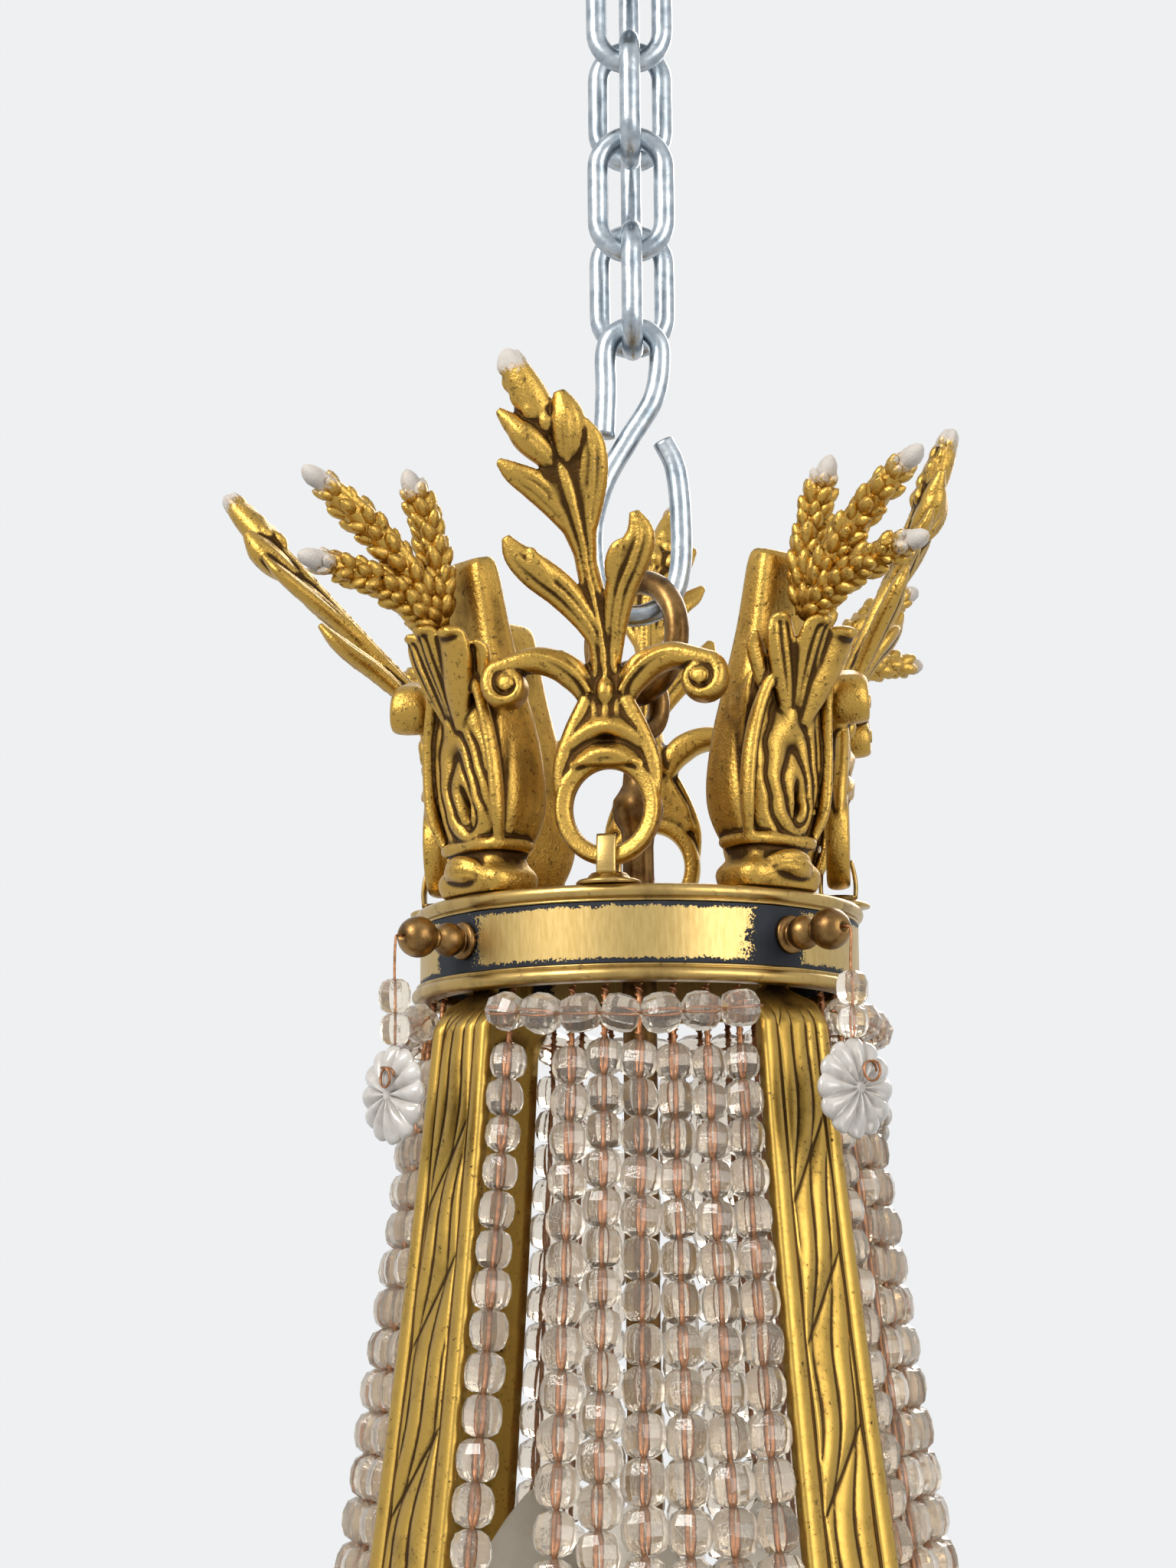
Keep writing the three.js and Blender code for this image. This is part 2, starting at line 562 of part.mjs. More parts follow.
// Knob pin: shank, flange, base ball, neck and an outer ball with a bore in its end
const pinEnd = fieldR + PIN_L;
function knobPin() {
  const at = fieldR + GAP;
  const ball = (middle, radius, from, to, count) => Array.from({ length: count }, (_, i) => {
    const angle = THREE.MathUtils.degToRad(THREE.MathUtils.lerp(from, to, i / (count - 1)));
    return [radius * Math.sin(angle), middle - radius * Math.cos(angle)];
  });
  const outer = pinEnd - PIN_END_R;
  const tip = lugR + STAY_T / 2 + GAP;
  const profile = [[0, tip], [PIN_SHANK_R, tip], [PIN_SHANK_R, at], [4.8, at],
    [4.8, at + 1.2], ...ball(at + PIN_BALL_R + 0.8, PIN_BALL_R, 46, 134, 3),
    ...ball(outer, PIN_END_R, 32, 158, 4), [PIN_BORE_R, pinEnd - 0.3], [PIN_BORE_R, pinEnd - 4], [0, pinEnd - 4]];
  return outwards(new THREE.LatheGeometry(profile.map(([r, y]) => new THREE.Vector2(r, y)), 8)
    .rotateX(Math.PI)).translate(0, 0, PIN_Z);
}
const pin = knobPin();

// Pendant: a wire in the pin's bore, two beads, and a lobed rosette
function rosette() {
  const ring = (radius, depth, lobe) => Array.from({ length: 2 * PETALS }, (_, i) => {
    const angle = (Math.PI * i) / PETALS;
    const r = radius * (1 - (i % 2 ? lobe : 0));
    return new THREE.Vector3(r * Math.cos(angle), depth, r * Math.sin(angle));
  });
  const half = ROSETTE_T / 2;
  return skin([ring(ROSETTE_R * 0.5, half, 0.05), ring(ROSETTE_R, 0, 0.12), ring(ROSETTE_R * 0.6, -half, 0.1)]);
}

function pendant() {
  const out = pinEnd + 1.8;
  const wire = bar(smooth([0, -pinEnd + 3, PIN_Z], [0, -pinEnd - 0.8, PIN_Z], [0, -out, PIN_Z - 1.4],
    [0, -out, PIN_Z - ROSETTE_DROP / 2], [0, -out, PIN_Z - ROSETTE_DROP]), SIDEWAYS, same(PENDANT_WIRE_R),
  same(PENDANT_WIRE_R), { steps: 5, sides: 3 });
  const beads = PENDANT_BEADS.map(({ drop, r }) => new THREE.SphereGeometry(r, 6, 4).rotateX(Math.PI / 2)
    .translate(0, -out, PIN_Z - drop));
  return join(wire, ...beads, rosette().translate(0, -out, PIN_Z - ROSETTE_DROP));
}
const pendantShape = pendant();

// Stay: a flat bar with a cranked lug inside the band, flaring and widening down to the hoop
function stay() {
  const path = [[lugR, BAND_H - RIM_H - 2], [lugR, -2], ...[12, 50, 90, 140, 190, 240, TENT_H - 2 * GAP]
    .map((drop) => [tentR(drop) + STAY_PROUD, -drop])];
  const curve = new THREE.CatmullRomCurve3(path.map(([r, z]) => new THREE.Vector3(0, -r, z)), false, 'chordal');
  const widthAt = (t) => {
    const { z } = curve.getPoint(t);
    return z > -5 ? 7 : THREE.MathUtils.lerp(STAY_W_TOP, STAY_W_FOOT, -z / TENT_H) / 2;
  };
  return bar(curve, SIDEWAYS, widthAt, same(STAY_T / 2), { steps: path.length - 1, sides: 6, power: 0.3 });
}

// Bead panel: strands side by side, laced together by a wire near their tops and another near the hoop
const strandPoint = (azimuth, drop) => {
  const a = THREE.MathUtils.degToRad(azimuth);
  return new THREE.Vector3(tentR(drop) * Math.sin(a), -tentR(drop) * Math.cos(a), -drop);
};

function strand(azimuth) {
  const rows = 4;
  const dropAt = (t) => THREE.MathUtils.lerp(STRAND_START, TENT_H - 3, t);
  const line = new THREE.CatmullRomCurve3(Array.from({ length: rows + 1 }, (_, i) => strandPoint(azimuth, dropAt(i / rows))));
  const radius = (t) => strandSpacing(dropAt(t)) * STRAND_SHARE;
  return bar(line, new THREE.Vector3(1, 0, 0), radius, radius, { steps: rows, sides: 6 });
}

function lacing(from, to, drop) {
  const steps = STRANDS / 2;
  const line = Array.from({ length: steps + 1 }, (_, i) => strandPoint(THREE.MathUtils.lerp(from, to, i / steps), drop));
  const size = same(LACING_R);
  return bar(new THREE.CatmullRomCurve3(line), new THREE.Vector3(0, 0, 1), size, size, { steps, sides: 6 });
}

function beadPanel(missing) {
  const azimuths = Array.from({ length: STRANDS }, (_, i) => (i - (STRANDS - 1) / 2) * STRAND_STEP);
  const ends = [azimuths[0] - LACING_REACH, azimuths[STRANDS - 1] + LACING_REACH];
  const wires = [STRAND_START + 3, TENT_H - 5].map((drop) => lacing(...ends, drop));
  return join(...azimuths.filter((_, i) => i !== missing).map(strand), ...wires);
}

function swag() { // a shallow string of beads under the band, each bead wide at its middle
  const half = THREE.MathUtils.degToRad(SWAG_BEADS * SWAG_STEP / 2);
  const steps = 2 * SWAG_BEADS;
  const points = Array.from({ length: steps + 1 }, (_, i) => {
    const s = (2 * i) / steps - 1;
    const a = s * half;
    return new THREE.Vector3(SWAG_R * Math.sin(a), -SWAG_R * Math.cos(a), -SWAG_DROP + SWAG_SAG * s * s);
  });
  const size = (t) => (Math.round(t * steps) % 2 ? SWAG_BEAD_R : SWAG_BEAD_R * 0.45);
  return bar(new THREE.CatmullRomCurve3(points), new THREE.Vector3(0, 0, 1), size, size, { steps, sides: 5 });
}

const stayShape = stay();
const swagShape = swag();
for (let k = 0; k < QUARTERS; k += 1) {
  const corner = turned(45 + 90 * k);
  add(`console_${k + 1}`, consoleSeated.clone(), gilt, corner);
  add(`wheat_sheaf_${k + 1}`, sheaf.clone(), gilt, corner);
  add(`knob_pin_${k + 1}`, pin.clone(), bronze, corner);
  add(`pendant_${k + 1}`, pendantShape.clone(), glass, corner);
  add(`stay_${k + 1}`, stayShape.clone(), wornGilt, corner);
  const side = turned(90 * k);
  add(`bead_panel_${k + 1}`, beadPanel(k === 0 ? MISSING_STRAND : -1), glass, side);
  add(`bead_swag_${k + 1}`, swagShape.clone(), glass, side);
}

// Hoop: a moulded ring that the stays stand on
const hoopTop = -TENT_H;
const hoopOuter = tentR(TENT_H) + STAY_PROUD + STAY_T;
const hoopInner = hoopOuter - HOOP_LIP;
add('hoop', lathe(closed([
  [hoopInner, hoopTop - HOOP_H], [hoopOuter - 3, hoopTop - HOOP_H], [hoopOuter, hoopTop - HOOP_H + 3],
  [hoopOuter - 1.6, hoopTop - HOOP_H / 2], [hoopOuter, hoopTop], [hoopInner, hoopTop],
]), 32), gilt);

// Bead basket: ribs of strands that draw in from the hoop to the finial's plate
function basket() {
  const rows = 4;
  const top = hoopTop - HOOP_H - GAP;
  const outerR = hoopInner + HOOP_LIP * 0.45;
  const innerR = FINIAL_R - 3;
  const ring = (share, inset) => Array.from({ length: 2 * BASKET_RIBS }, (_, i) => {
    const angle = (Math.PI * i) / BASKET_RIBS;
    const turn = (Math.PI / 2) * share;
    const r = innerR + (outerR - innerR) * Math.cos(turn) ** 0.85;
    const rib = (i % 2 ? BASKET_VALLEY : 1) * THREE.MathUtils.lerp(BASKET_BEAD_R, BASKET_FOOT_BEAD_R, share);
    const out = inset ? -rib : rib;
    return new THREE.Vector3((r + out * Math.cos(turn)) * Math.cos(angle), (r + out * Math.cos(turn)) * Math.sin(angle),
      top - (BASKET_H - BASKET_FOOT_BEAD_R) * Math.sin(turn) - out * Math.sin(turn));
  });
  const shares = Array.from({ length: rows }, (_, i) => i / (rows - 1));
  const outside = shares.map((s) => ring(s, false));
  const inside = shares.map((s) => ring(s, true)).reverse();
  return skin([...outside, ...inside].reverse(), true);
}
add('bead_basket', basket(), glass);

// Finial: a plate under the basket, a turned knop and a pointed drop on the stem's end
const finialProfile = [
  [bore, 0], [bore, -FINIAL_H * 0.4 - GAP], [0, -FINIAL_H * 0.4 - GAP - 2]];
add('finial', lathe([
  [0, -FINIAL_H], [2.4, -FINIAL_H + 1.6], [4.6, -FINIAL_H + 8], [7.6, -FINIAL_H + 16], [5.4, -FINIAL_H + 22],
  [7, -FINIAL_H + 24], [11, -FINIAL_H + 34], [FINIAL_R, -3], [FINIAL_R, -1], [14, 0], ...finialProfile,
], 12).translate(0, 0, finialTopZ - 2 * GAP), gilt);

// Lamp cluster: a turned body on the stem, with an arm and a candle tube for each lamp
const candleFoot = CLUSTER_Z + 4;
function cluster() {
  const body = lathe(closed([[bore, CLUSTER_Z - 12], [7, CLUSTER_Z - 12], [13, CLUSTER_Z - 4], [13, CLUSTER_Z + 3],
    [8, CLUSTER_Z + 9], [bore, CLUSTER_Z + 9]]), 9);
  const arms = Array.from({ length: LAMPS }, (_, i) => {
    const arm = bar(smooth([0, -9, CLUSTER_Z], [0, -CLUSTER_R * 0.6, CLUSTER_Z - 5], [0, -CLUSTER_R, candleFoot + 2]),
      SIDEWAYS, same(3), same(3), { steps: 3, sides: 5 });
    const cup = lathe([[0, 0], [7, 0], [12, 4], [CANDLE_R, 5], [CANDLE_R, CANDLE_H], [6, CANDLE_H], [6, CANDLE_H - 12],
      [0, CANDLE_H - 12]], 8).translate(0, -CLUSTER_R, candleFoot);
    return join(arm, cup).rotateZ((2 * Math.PI * i) / LAMPS);
  });
  return join(body, ...arms);
}
add('lamp_cluster', cluster(), wornGilt);
for (let i = 0; i < LAMPS; i += 1) {
  const capZ = candleFoot + CANDLE_H - 12 + GAP;
  const bulb = lathe([[0, 0], [5.6, 0], [5.6, 13], [BULB_R * 0.7, 20], [BULB_R, 32], [BULB_R * 0.82, 44],
    [BULB_R * 0.36, 56], [0, BULB_H]], 8).translate(0, -CLUSTER_R, capZ);
  add(`candle_bulb_${i + 1}`, bulb.rotateZ((2 * Math.PI * i) / LAMPS), porcelain);
}

export default model;
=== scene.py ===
import math

import bpy
import numpy as np
from mathutils import Matrix, Vector


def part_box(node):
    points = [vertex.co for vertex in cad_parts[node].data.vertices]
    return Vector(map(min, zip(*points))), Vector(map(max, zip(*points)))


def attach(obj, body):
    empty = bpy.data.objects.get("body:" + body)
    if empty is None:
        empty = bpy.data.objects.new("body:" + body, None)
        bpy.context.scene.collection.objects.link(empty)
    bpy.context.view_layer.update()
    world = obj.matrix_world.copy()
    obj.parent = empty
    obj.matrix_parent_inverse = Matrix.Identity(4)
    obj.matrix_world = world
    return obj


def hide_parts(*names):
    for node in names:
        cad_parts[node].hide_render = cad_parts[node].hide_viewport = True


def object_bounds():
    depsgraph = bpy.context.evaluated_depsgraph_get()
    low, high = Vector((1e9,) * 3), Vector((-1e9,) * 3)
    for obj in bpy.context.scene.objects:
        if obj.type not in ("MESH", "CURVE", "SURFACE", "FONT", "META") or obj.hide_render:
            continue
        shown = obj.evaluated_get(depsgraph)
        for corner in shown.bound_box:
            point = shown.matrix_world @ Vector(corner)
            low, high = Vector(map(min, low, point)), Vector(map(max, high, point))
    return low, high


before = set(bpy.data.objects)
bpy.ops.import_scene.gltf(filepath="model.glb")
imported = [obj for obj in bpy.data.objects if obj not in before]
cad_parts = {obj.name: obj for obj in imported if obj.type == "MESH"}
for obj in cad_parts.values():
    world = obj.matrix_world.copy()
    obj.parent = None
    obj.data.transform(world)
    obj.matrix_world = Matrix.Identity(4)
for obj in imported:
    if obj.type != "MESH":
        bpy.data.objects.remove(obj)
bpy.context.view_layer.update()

# The picture. A gilt bronze basket chandelier with glass bead strands, seen from a little below and from
# 0.8 m away, so that the crown, the chain above it and the upper half of the bead tent fill the frame.
# Heights are given in millimetres from the lower edge of the crown band, as on the whole object.
PLACE = float(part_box("bottom_rim")[0].z)  # height of the band's lower edge in the part, in metres
CAMERA_AZIMUTH = 4.5  # degrees to the right of the object's front
CAMERA_DISTANCE = 813.0
CAMERA_HEIGHT = -82.5
CAMERA_PITCH, CAMERA_YAW, CAMERA_ROLL = 9.87, -0.93, -0.47
LENS, SENSOR = 71.0, 36


def turn_about_z(points, degrees):
    """Points turned about the object's axis, anticlockwise from above."""
    a = math.radians(degrees)
    x, y, z = np.moveaxis(np.asarray(points, float), -1, 0)
    return np.stack([x * math.cos(a) - y * math.sin(a), x * math.sin(a) + y * math.cos(a), z], -1)


def in_part(points):
    """From millimetres above the band's lower edge to metres in the part."""
    return np.asarray(points, float) * 0.001 + (0.0, 0.0, PLACE)


pitch, yaw, roll = (math.radians(v) for v in (CAMERA_PITCH, CAMERA_YAW, CAMERA_ROLL))
ahead = np.array([math.sin(yaw) * math.cos(pitch), math.cos(yaw) * math.cos(pitch), math.sin(pitch)])
level = np.cross(ahead, (0, 0, 1))
level /= np.linalg.norm(level)
above = np.cross(level, ahead)
across = level * math.cos(roll) + above * math.sin(roll)
upward = above * math.cos(roll) - level * math.sin(roll)
axes = [turn_about_z(v, CAMERA_AZIMUTH) for v in (across, upward, -ahead)]
eye_point = in_part(turn_about_z((0, -CAMERA_DISTANCE, CAMERA_HEIGHT), CAMERA_AZIMUTH))
camera = bpy.data.objects.new("camera", bpy.data.cameras.new("camera"))
camera.data.lens = LENS
camera.data.sensor_width = SENSOR
camera.data.clip_start, camera.data.clip_end = 0.02, 30
rows = [[axis[r] for axis in axes] + [eye_point[r]] for r in range(3)]
camera.matrix_world = Matrix(rows + [[0, 0, 0, 1]])
bpy.context.scene.collection.objects.link(camera)
bpy.context.scene.camera = camera
bpy.context.scene.view_settings.view_transform = "Standard"


# Shader maths for every finish: a value over a surface that takes part in ordinary sums.
class Field:
    """A shader socket. Sums with +, - and * add Math nodes; node() adds any other node."""

    def __init__(self, tree, socket=None):
        self.tree, self.socket = tree, socket

    def node(self, kind, settings=None, inputs=None, output=0):
        """A node of a type: its settings come first, then its inputs, set to values or linked to fields."""
        made = self.tree.nodes.new(kind)
        for key, value in (settings or {}).items():
            setattr(made, key, value)
        for key, value in (inputs or {}).items():
            if isinstance(value, Field):
                self.tree.links.new(value.socket, made.inputs[key])
            else:
                made.inputs[key].default_value = value
        return Field(self.tree, made.outputs[output]) if made.outputs else made

    def math(self, operation, *values):
        """A Math node of an operation over fields and numbers."""
        return self.node("ShaderNodeMath", {"operation": operation}, dict(enumerate(values)))

    def __add__(self, other):
        return self.math("ADD", self, other)

    __radd__ = __add__

    def __mul__(self, other):
        return self.math("MULTIPLY", self, other)

    __rmul__ = __mul__

    def __sub__(self, other):
        return self.math("SUBTRACT", self, other)

    def __rsub__(self, other):
        return self.math("SUBTRACT", other, self)

    def step(self, low, high):
        """0 below low, 1 above high, straight between."""
        inputs = {"Value": self, "From Min": low, "From Max": high}
        return self.node("ShaderNodeMapRange", {"clamp": True}, inputs)

    def mix(self, first, second):
        """The colour first where this is 0, second where it is 1."""
        inputs = {0: self}
        for key, colour in ((6, first), (7, second)):
            inputs[key] = colour if isinstance(colour, Field) else (*colour, 1.0)
        return self.node("ShaderNodeMix", {"data_type": "RGBA"}, inputs, output=2)


def finish_of(name):
    """A new material: its shader, a field to build values with, and its place in object coordinates."""
    material = bpy.data.materials.new(name)
    material.use_nodes = True
    tree = material.node_tree
    shader = tree.nodes["Principled BSDF"]
    field = Field(tree)
    place = field.node("ShaderNodeTexCoord", output=3)
    return material, shader, field, place


def feed(shader, **values):
    """Sets or links the shader's sockets; a name's underscores stand for spaces."""
    for key, value in values.items():
        socket = shader.inputs[key.replace("_", " ")]
        if isinstance(value, Field):
            value.tree.links.new(value.socket, socket)
        elif isinstance(value, tuple) and len(value) == 3:
            socket.default_value = (*value, 1.0)
        else:
            socket.default_value = value


# Studio: a pale floor well below the object, three large soft lamps and a dim, slightly blue sky. The
# camera, reflections and glass see a plain light grey world instead, and the floor fades into it.
FLOOR_DROP, FLOOR_SIZE = 2.1, 60  # metres
FLOOR_FADE = 0.94  # share of the grey in what is seen of the floor
PALE = (0.86, 0.87, 0.88, 1.0)


def plainly_seen(field):
    """1 for rays from the camera, from reflections and through glass, 0 for light that falls on things."""
    camera_ray, glossy_ray, glass_ray = (field.node("ShaderNodeLightPath", output=i) for i in (0, 3, 6))
    return field.math("MAXIMUM", camera_ray, field.math("MAXIMUM", glossy_ray, glass_ray))


stage_paint, stage_shader, field, _ = finish_of("studio_paper")
feed(stage_shader, Base_Color=(0.78, 0.78, 0.77), Roughness=0.9)
paper, output = (stage_paint.node_tree.nodes[name] for name in ("Principled BSDF", "Material Output"))
haze = field.node("ShaderNodeEmission", inputs={"Color": PALE, "Strength": 1.0})
layers = {0: plainly_seen(field) * FLOOR_FADE, 1: Field(field.tree, paper.outputs[0]), 2: haze}
field.tree.links.new(field.node("ShaderNodeMixShader", inputs=layers).socket, output.inputs[0])
bpy.ops.mesh.primitive_plane_add(size=FLOOR_SIZE, location=(0, 0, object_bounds()[0].z - FLOOR_DROP))
studio_floor = bpy.context.object
studio_floor.name = "studio_floor"
studio_floor.data.materials.append(stage_paint)

world = bpy.context.scene.world or bpy.data.worlds.new("studio")
bpy.context.scene.world = world
world.use_nodes = True
world.node_tree.nodes.clear()
light = Field(world.node_tree)
lit = light.node("ShaderNodeBackground", inputs={"Color": (0.9, 0.94, 1.0, 1.0), "Strength": 0.42})
shown = light.node("ShaderNodeBackground", inputs={"Color": PALE, "Strength": 1.0})
both = light.node("ShaderNodeMixShader", inputs={0: plainly_seen(light), 1: lit, 2: shown})
light.node("ShaderNodeOutputWorld", inputs={"Surface": both})


def lamp(name, azimuth, height, distance, size, power):
    """A square soft lamp, aimed at the band, at an azimuth in degrees from the object's front and a height
    in metres above the band; distance and size are in metres, power in watts."""
    data = bpy.data.lights.new(name, "AREA")
    data.size, data.energy = size, power
    data.color = (1.0, 0.97, 0.92)
    made = bpy.data.objects.new(name, data)
    place = turn_about_z((0, -distance, 0), azimuth) + (0, 0, PLACE + height)
    made.location = place
    aim = Vector((0, 0, PLACE)) - Vector(place)
    made.rotation_euler = aim.to_track_quat("-Z", "Y").to_euler()
    bpy.context.scene.collection.objects.link(made)


lamp("key", -38, 0.9, 1.5, 0.7, 24)
lamp("fill", 50, 0.35, 1.6, 1.0, 12)
lamp("back", 165, 0.9, 1.6, 0.9, 16)

# Ceiling plate and chain. A round zinc plated steel plate with two staples carries a doubled chain of
# welded 5.75 mm steel links. Each strand starts on a staple of its own; links lie crosswise by turns.
CHAIN_TURN = 4.5
LINK_WIRE = 5.75
LINK_SIZE = (27.8, 12.5)  # inner length and width
LINKS = 4
STRAND_GAP = 24.6
STAPLE_WIRE = 6.0


def surface(points, along=False, caps=True):
    """Vertices and faces of a grid of points: rows are rings that close on themselves, along joins the
    last ring to the first, and caps closes open ends with a fan to their middle point."""
    rows, columns = points.shape[:2]
    index = np.arange(rows * columns).reshape(rows, columns)
    index = np.concatenate([index, index[:, :1]], 1)
    if along:
        index = np.concatenate([index, index[:1]], 0)
    quads = np.stack([index[:-1, :-1], index[:-1, 1:], index[1:, 1:], index[1:, :-1]], -1).reshape(-1, 4)
    vertices = points.reshape(-1, 3)
    fans = np.zeros((0, 4), int)
    if caps and not along:
        middles = np.array([points[0].mean(0), points[-1].mean(0)])
        first, last = len(vertices), len(vertices) + 1
        vertices = np.concatenate([vertices, middles])
        head = np.stack([np.full(columns, first), index[0, 1:], index[0, :-1], index[0, :-1]], -1)
        foot = np.stack([np.full(columns, last), index[-1, :-1], index[-1, 1:], index[-1, 1:]], -1)
        fans = np.concatenate([head, foot])
    return outwards(vertices, np.concatenate([quads, fans]))


def outwards(vertices, faces):
    """Faces turned so that the closed surface's volume, summed over its triangles, is positive."""
    a, b, c, d = (vertices[faces[:, k]] for k in range(4))
    volume = np.einsum("ij,ij->", a, np.cross(b, c)) + np.einsum("ij,ij->", a, np.cross(c, d))
    return vertices, faces if volume > 0 else faces[:, ::-1]


def piece(name, shells, material, *nodes, body="chandelier", slot=None, smooth=True):
    """One object from closed shells in millimetres: points on one place are merged, the mesh goes into
    the part's frame, rides on a body and stands for CAD nodes."""
    counts = np.cumsum([0] + [len(v) for v, _ in shells])
    vertices = np.concatenate([v for v, _ in shells])
    faces = np.concatenate([f + start for (_, f), start in zip(shells, counts)])
    tag = np.repeat(np.arange(len(shells)), [len(v) for v, _ in shells])
    keys = np.concatenate([np.round(vertices, 4), tag[:, None]], 1)
    _, first, same = np.unique(keys, axis=0, return_index=True, return_inverse=True)
    faces = same.reshape(-1)[faces]
    loops = ([v for k, v in enumerate(face) if v != face[k - 1]] for face in faces.tolist())
    polygons = [corners for corners in loops if len(corners) > 2]
    mesh = bpy.data.meshes.new(name)
    mesh.from_pydata(in_part(vertices[first]).tolist(), [], polygons)
    mesh.polygons.foreach_set("use_smooth", np.full(len(polygons), smooth))
    made = bpy.data.objects.new(name, mesh)
    bpy.context.scene.collection.objects.link(made)
    mesh.materials.append(material)
    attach(made, body)
    if nodes:
        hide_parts(*nodes)
    return made


def smooth_path(points, count):
    """A uniform Catmull-Rom curve through points, sampled evenly in its parameter: on each span, half of
    2b + (c - a)u + (2a - 5b + 4c - d)u² + (3b - a - 3c + d)u³."""
    points = np.asarray(points, float)
    knots = np.concatenate([[2 * points[0] - points[1]], points, [2 * points[-1] - points[-2]]])
    spans = len(knots) - 3
    t = np.linspace(0, spans, count)
    k = np.minimum(t.astype(int), spans - 1)
    u = (t - k)[:, None]
    a, b, c, d = (knots[k + j] for j in range(4))
    return 0.5 * (2 * b + (c - a) * u + (2 * a - 5 * b + 4 * c - d) * u**2 + (3 * b - a - 3 * c + d) * u**3)


def frames(path, side, loop=False):
    """Tangent, side and normal along a path: side is made square to the tangent at each point."""
    tangent = np.roll(path, -1, 0) - np.roll(path, 1, 0) if loop else np.gradient(path, axis=0)
    tangent /= np.linalg.norm(tangent, axis=1)[:, None]
    side = np.broadcast_to(np.asarray(side, float), path.shape)
    side = side - tangent * np.sum(side * tangent, 1)[:, None]
    side /= np.linalg.norm(side, axis=1)[:, None]
    return tangent, side, np.cross(tangent, side)


def skin(path, sideways, normal, grid_wide, grid_deep, loop=False):
    """A closed bar: each ring is its path point + sideways * grid_wide + normal * grid_deep."""
    grid = path[:, None] + sideways[:, None] * grid_wide[..., None]
    return surface(grid + normal[:, None] * grid_deep[..., None], along=loop)


def even_angles(count):
    """Angles spread evenly over a full turn."""
    return np.linspace(0, 2 * math.pi, count, endpoint=False)


def squared(wave, power):
    """A wave to a power that keeps its sign; a power under 1 draws an oval out towards an oblong."""
    return np.sign(wave) * np.abs(wave) ** power


def rod(path, side, wide, thick=None, sides=16, loop=False, square=1.0):
    """A bar along a path with an oval section: half widths wide and thick along it, times the cosine and
    sine of an angle, each to the power square."""
    wide = np.broadcast_to(wide, len(path))
    thick = wide if thick is None else np.broadcast_to(thick, len(path))
    _, sideways, normal = frames(path, side, loop)
    a = even_angles(sides)
    wide, thick = wide[:, None] * squared(np.cos(a), square), thick[:, None] * squared(np.sin(a), square)
    return skin(path, sideways, normal, wide, thick, loop)


def round_axis(r, angle, z):
    """Points at radii, angles and heights: r cos angle, r sin angle, z."""
    return np.stack([r * np.cos(angle), r * np.sin(angle), z + 0 * (r * angle)], -1)


def turned(pairs, segments=96, loop=True):
    """A turned piece: radius and height pairs, carried round the axis; a loop closes the profile."""
    r, z = np.asarray(pairs, float).T[..., None]
    return surface(round_axis(r, even_angles(segments), z), along=loop, caps=False)


def moved(shell, shift=(0, 0, 0), azimuth=0.0):
    """A shell shifted, then turned about the object's axis."""
    return turn_about_z(shell[0] + shift, azimuth), shell[1]


def hump(x, middle, width):
    """A smooth bump of height 1: e to the power of minus ((x - middle) / width) squared."""
    return np.exp(-(((x - middle) / width) ** 2))


def stadium(length, width, steps=20):
    """The middle line of a welded link: two half rounds joined by straight legs, in the x-z plane."""
    angle = np.linspace(-math.pi / 2, math.pi / 2, steps)
    leg = (length - width) / 2
    upper = np.stack([width / 2 * np.sin(angle), 0 * angle, leg + width / 2 * np.cos(angle)], 1)
    return np.concatenate([upper, -upper])


def link(broad):
    """A welded link about its middle: round wire on a stadium, with a slightly fatter weld on one leg."""
    path = stadium(LINK_SIZE[0] + LINK_WIRE, LINK_SIZE[1] + LINK_WIRE)
    weld = hump(path[:, 2], 0, 2.2) * (path[:, 0] > 0)
    vertices, faces = rod(path, (0, 1, 0), LINK_WIRE / 2 * (1 + 0.09 * weld), loop=True)
    return (vertices if broad else turn_about_z(vertices, 90)), faces


def noise(field, place, scale, detail=3.0, roughness=0.55):
    """Cloudy noise, whose scale is in lumps per metre."""
    inputs = {"Vector": place, "Scale": scale, "Detail": detail, "Roughness": roughness}
    return field.node("ShaderNodeTexNoise", inputs=inputs)


def bump(field, height, distance, strength=1.0):
    """A bump from a height field; distance is the depth in metres of a height of 1."""
    inputs = {"Height": height, "Distance": distance, "Strength": strength}
    return field.node("ShaderNodeBump", inputs=inputs)


zinc, shader, field, place = finish_of("zinc_plated_steel")
cloud = noise(field, place, 260, 4)
streak = noise(field, place, 900, 2)
feed(shader, Metallic=1.0, Base_Color=cloud.step(0.3, 0.72).mix((0.25, 0.3, 0.35), (0.56, 0.61, 0.65)),
     Roughness=0.2 + streak * 0.22, Normal=bump(field, cloud, 0.00025, 0.5))

for side, shift in (("front", 0.0), ("rear", STRAND_GAP)):
    for number in range(1, LINKS + 1):
        node = f"chain_{side}_{number}"
        low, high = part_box(node)
        middle = ((low.z + high.z) / 2 - PLACE) * 1000
        broad = (number % 2 == 1) == (side == "front")
        shell = moved(link(broad), (0, shift, middle), CHAIN_TURN)
        piece(f"link_{side}_{number}", [shell], zinc, node, body=f"{side}_strand", slot="zinc")


def staple(drop, broad):
    """A U of round wire that hangs from z = 0 down to -drop, in the x-z plane or across it."""
    half = (LINK_SIZE[1] + STAPLE_WIRE) / 2
    bend = drop - STAPLE_WIRE / 2 - half
    angle = np.linspace(0, math.pi, 24)
    arc = np.stack([-half * np.cos(angle), 0 * angle, -bend - half * np.sin(angle)], 1)
    path = np.concatenate([[[-half, 0, 2]], arc, [[half, 0, 2]]])
    vertices, faces = rod(path, (0, 1, 0), STAPLE_WIRE / 2)
    return (vertices if broad else turn_about_z(vertices, 90)), faces


